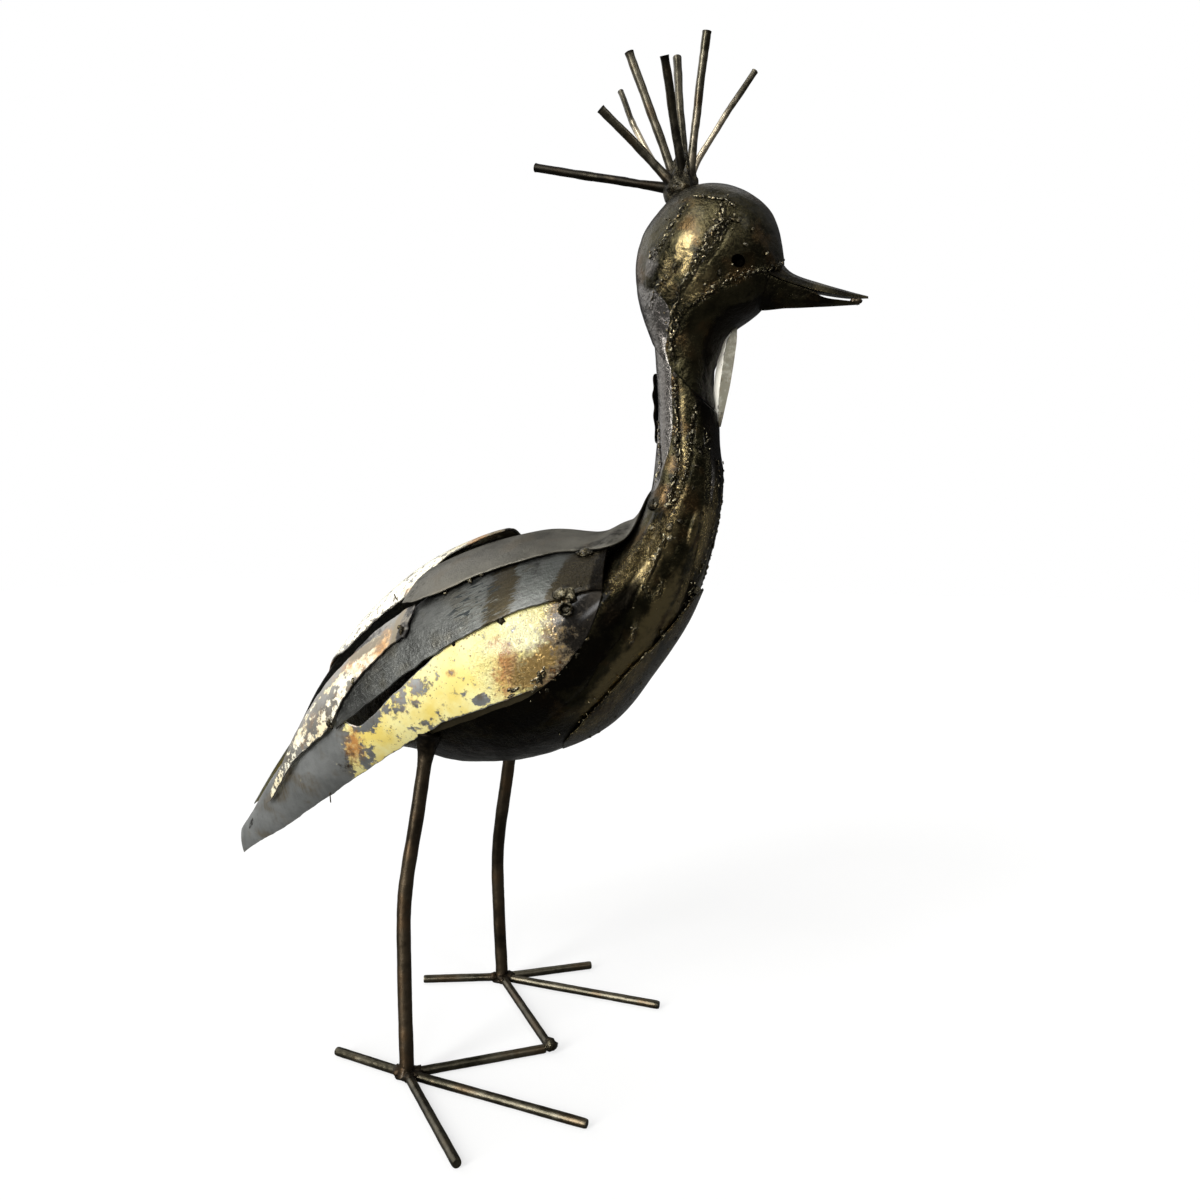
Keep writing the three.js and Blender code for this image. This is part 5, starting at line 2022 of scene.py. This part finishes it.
TIE = (51.3, -11.6)
RIGHT_LEG = Leg(
    Side.RIGHT,
    (
        (3.4, -52.3, 0), (3.4, -52.3, 3), (-0.2, -47.5, 44.3), (-2, -43.5, 74), (1.7, -38, 111),
        (6, -33.5, 150),
    ),
    {Toe.MIDDLE: (87, -57.7), Toe.OUTER: (52.1, -96.7), Toe.BACK: (-35, -47.8), Toe.INNER: TIE},
)
LEFT_LEG = Leg(
    Side.LEFT,
    ((0.4, 42.3, 0), (0.4, 42.3, 4), (-0.2, 40.8, 36), (0.9, 38, 69.6), (9, 33.5, 112.2), (16, 30, 150)),
    {Toe.MIDDLE: (84.3, 42.5), Toe.OUTER: (37.9, 71.1), Toe.BACK: (-35.5, 25.8), Toe.INNER: TIE},
)


@dataclass
class Feet:
    """Two bent legs, eight toes and the weld that ties the feet together."""

    legs: tuple[Leg, ...] = (RIGHT_LEG, LEFT_LEG)
    leg_radius: float = 3.15
    toe_radius: float = 2.0
    ball_radius: float = 3.3
    top_flare: float = 6.5
    foot_flare: float = 2.6
    weld_crease: float = 80

    def bar(self, points: Array, radius: float, reference: Array, seed: int, rows: int) -> Form:
        """A bar with a slightly uneven skin and nipped ends."""
        path = bent_path(points, rows) + GROUND_TO_ORIGIN
        run = np.linspace(0, np.linalg.norm(np.diff(path, axis=0), axis=1).sum(), rows)
        nip = 1 - 0.12 * np.exp(-np.minimum(run, run[::-1]) / 0.4)
        skin = 0.97 + layered(path, ((0.025, 7, 0), (0.02, 2.5, 1)), seed)
        return rod(path, radius * nip * skin, reference)

    def fillet(self, start: Array, end: Array, flare: float, seed: int) -> Form:
        """Weld run round a leg, flared at one end as a falling exponential does.

        Args:
            start: the middle of its wide end.
            end: the middle of its narrow end.
            flare: how much wider than the leg it starts.
            seed: picks its lumps.

        Returns:
            The form, sooted most at its wide end.
        """
        down = np.linspace(0, 1, 40)[:, None]
        path = start + (end - start) * down + GROUND_TO_ORIGIN
        reach = self.leg_radius * 0.9 + flare * np.exp(-down / 0.28) * (0.45 + 0.55 * step(0, 0.12, down))
        ring = circles(path, LEFTWARDS, 30)
        lumpy = 1 + 0.26 * unevenness(path[:, None] + 6 * ring, 3.0, seed) * np.exp(-down / 0.5)
        soot = (0.8 - 0.5 * down)[..., None] + 0 * ring[..., :1]
        return tube(path[:, None] + ring * (reach * lumpy)[..., None], {Mark.SOOT: soot})

    def toe(self, foot: Array, tip: tuple[float, float], short: float, seed: int) -> tuple[Form, Form]:
        """One toe and the weld at its root.

        Args:
            foot: the middle of the leg at the toes' height.
            tip: where the toe ends.
            short: how much of it the tie's ball takes.
            seed: picks the unevenness of both.

        Returns:
            The toe and the weld.
        """
        end = np.array([*tip, self.toe_radius])
        along = unit(end - foot)
        line = np.stack([foot + along * self.leg_radius * 0.5, end - along * short])
        seat = foot + along * (self.leg_radius + 0.9) + np.array([0, 0, 0.4]) + GROUND_TO_ORIGIN
        weld = lumps(seat[None], UP[None], np.array([2.9]), np.array([2.2]), WELD_SEED + seed)
        return self.bar(line, self.toe_radius, UP, TOE_SEED + seed, 90), weld

    def build(self, palette: Palette) -> None:
        """Shapes and dresses the legs, toes and welds."""
        dark, olive, weld_metal = (palette[slot] for slot in (Slot.DARK_ROD, Slot.OLIVE_ROD, Slot.WELD))
        welds, fillets = [], []
        for n, leg in enumerate(self.legs):
            side = leg.side.name.lower()
            bends = np.array(leg.bends, float)
            form = self.bar(bends, self.leg_radius, LEFTWARDS, LEG_SEED + 10 * n, 150)
            put(f"{side}_leg", form, Slot.DARK_ROD, dark, f"leg_{side}")
            down, up = bends[-2] - bends[-1], bends[2] - bends[0]
            ground = bends[0] + np.array([0, 0, 0.3])
            fillets += [
                self.fillet(
                    bends[-1] + 0.12 * down, bends[-1] + 0.56 * down, self.top_flare, FILLET_SEED + n
                ),
                self.fillet(ground, ground + 0.2 * up, self.foot_flare, FILLET_SEED + 2 + n),
            ]
            foot = np.array([*leg.bends[0][:2], self.toe_radius])
            for k, (toe, tip) in enumerate(leg.tips.items()):
                short = self.ball_radius - 1.0 if toe is Toe.INNER else 0.0
                form, weld = self.toe(foot, tip, short, 10 * n + k)
                put(f"{side}_{toe.value}_toe", form, Slot.OLIVE_ROD, olive, f"toe_{side}_{toe.value}")
                welds.append(weld)
        ball = np.array([[*TIE, self.ball_radius]]) + GROUND_TO_ORIGIN
        tie = lumps(ball, UP[None], np.array([self.ball_radius]), np.array([self.ball_radius * 0.9]), 660)
        put("toe_tie", sooted(tie, 0.7), Slot.WELD, weld_metal, "toe_tie_weld", crease=self.weld_crease)
        put("leg_fillets", joined(fillets), Slot.DARK_ROD, dark, crease=self.weld_crease)
        put("foot_welds", sooted(joined(welds), 0.55), Slot.DARK_ROD, dark, crease=self.weld_crease)


# The set


@dataclass(frozen=True)
class Lamp:
    """A distant lamp.

    It shines from turn degrees round the figure, 0 at its right side, and height
    degrees above the floor, and looks spread degrees wide.
    """

    name: str
    turn: float
    height: float
    spread: float
    strength: float

    def hang(self) -> None:
        """Lights the set with it."""
        lamp = bpy.data.lights.new(self.name, "SUN")
        lamp.angle = self.spread * TURN
        lamp.energy = self.strength
        hung = bpy.data.objects.new(self.name, lamp)
        hung.rotation_euler = ((90 - self.height) * TURN, 0, self.turn * TURN)
        bpy.context.scene.collection.objects.link(hung)


@dataclass
class Studio:
    """A pale floor, soft light and the camera."""

    lens: float = 29.61
    camera_place: Spot = (0.1902, -0.3827, 0.2322)
    camera_pitch: float = 85.65
    camera_turn: float = 21.0
    floor_size: float = 6.0
    floor_glow: float = 0.67
    behind: tuple[float, float] = (-0.358, 0.934)
    lamps: tuple[Lamp, ...] = (
        Lamp("key_low", -21.0, 9.0, 19.0, 1.5), Lamp("key", -24.0, 27.0, 19.0, 1.5),
        Lamp("key_high", -28.0, 46.0, 19.0, 0.75), Lamp("shoulder", 18.0, 25.0, 12.0, 0.45),
        Lamp("front", 66.0, 38.0, 12.0, 0.2), Lamp("side", -100.0, 26.0, 60.0, 1.0),
        Lamp("back", 190.0, 60.0, 40.0, 0.25),
    )

    def floor(self) -> None:
        """Lays the floor, paler to the camera than to the figure."""
        mesh = bpy.data.meshes.new("floor")
        h = self.floor_size / 2
        mesh.from_pydata([(-h, -h, 0), (h, -h, 0), (h, h, 0), (-h, h, 0)], [], [(0, 1, 2, 3)])
        material = bpy.data.materials.new("floor")
        material.use_nodes = True
        w = Wires(material.node_tree)
        seen = w.add("ShaderNodeLightPath").outputs["Is Camera Ray"]
        shader = w.add("ShaderNodeBsdfPrincipled", {
            "Base Color": w.mix(seen, (0.14, 0.14, 0.135), (0.34, 0.34, 0.335)), "Roughness": 0.8,
            "Specular IOR Level": 0.2, "Emission Color": (1.0, 1.0, 1.0),
            "Emission Strength": w.times(seen, self.floor_glow),
        })
        w.add("ShaderNodeOutputMaterial", {"Surface": shader.outputs[0]})
        mesh.materials.append(material)
        floor = bpy.data.objects.new("floor", mesh)
        bpy.context.scene.collection.objects.link(floor)

    def sky(self) -> bpy.types.World:
        """A room that is brighter above and darker behind the figure, and white to the camera."""
        world = bpy.data.worlds.new("sky")
        world.use_nodes = True
        w = Wires(world.node_tree)
        way = w.add("ShaderNodeSeparateXYZ", {0: w.add("ShaderNodeTexCoord").outputs["Generated"]}).outputs
        behind = w.plus(w.times(way[0], self.behind[0]), w.times(way[1], self.behind[1]))
        room = w.times(w.ramp(way[2], 0.0, 0.9, 0.09, 0.45), w.ramp(behind, 0.15, 0.75, 1.0, 0.35))
        seen = w.add("ShaderNodeLightPath").outputs["Is Camera Ray"]
        sky = w.add("ShaderNodeBackground", {"Color": (1.0, 1.0, 1.0), "Strength": w.larger(room, seen)})
        w.add("ShaderNodeOutputWorld", {"Surface": sky.outputs[0]})
        return world

    def build(self) -> None:
        """Sets up the floor, the lamps, the sky and the camera."""
        self.floor()
        for lamp in self.lamps:
            lamp.hang()
        scene = bpy.context.scene
        scene.world = self.sky()
        scene.view_settings.view_transform = "Standard"
        lens = bpy.data.cameras.new("camera")
        lens.lens = self.lens
        camera = bpy.data.objects.new("camera", lens)
        camera.location = self.camera_place
        camera.rotation_euler = (self.camera_pitch * TURN, 0, self.camera_turn * TURN)
        scene.collection.objects.link(camera)
        scene.camera = camera


def main() -> None:
    """Builds the figure and the set."""
    logging.basicConfig(level=logging.INFO, format="%(message)s")
    palette = Palette()
    for part in (Torso(), Head(), Crown(), Wings(), Feet()):
        part.build(palette)
    Studio().build()


if __name__ == "__main__":
    main()
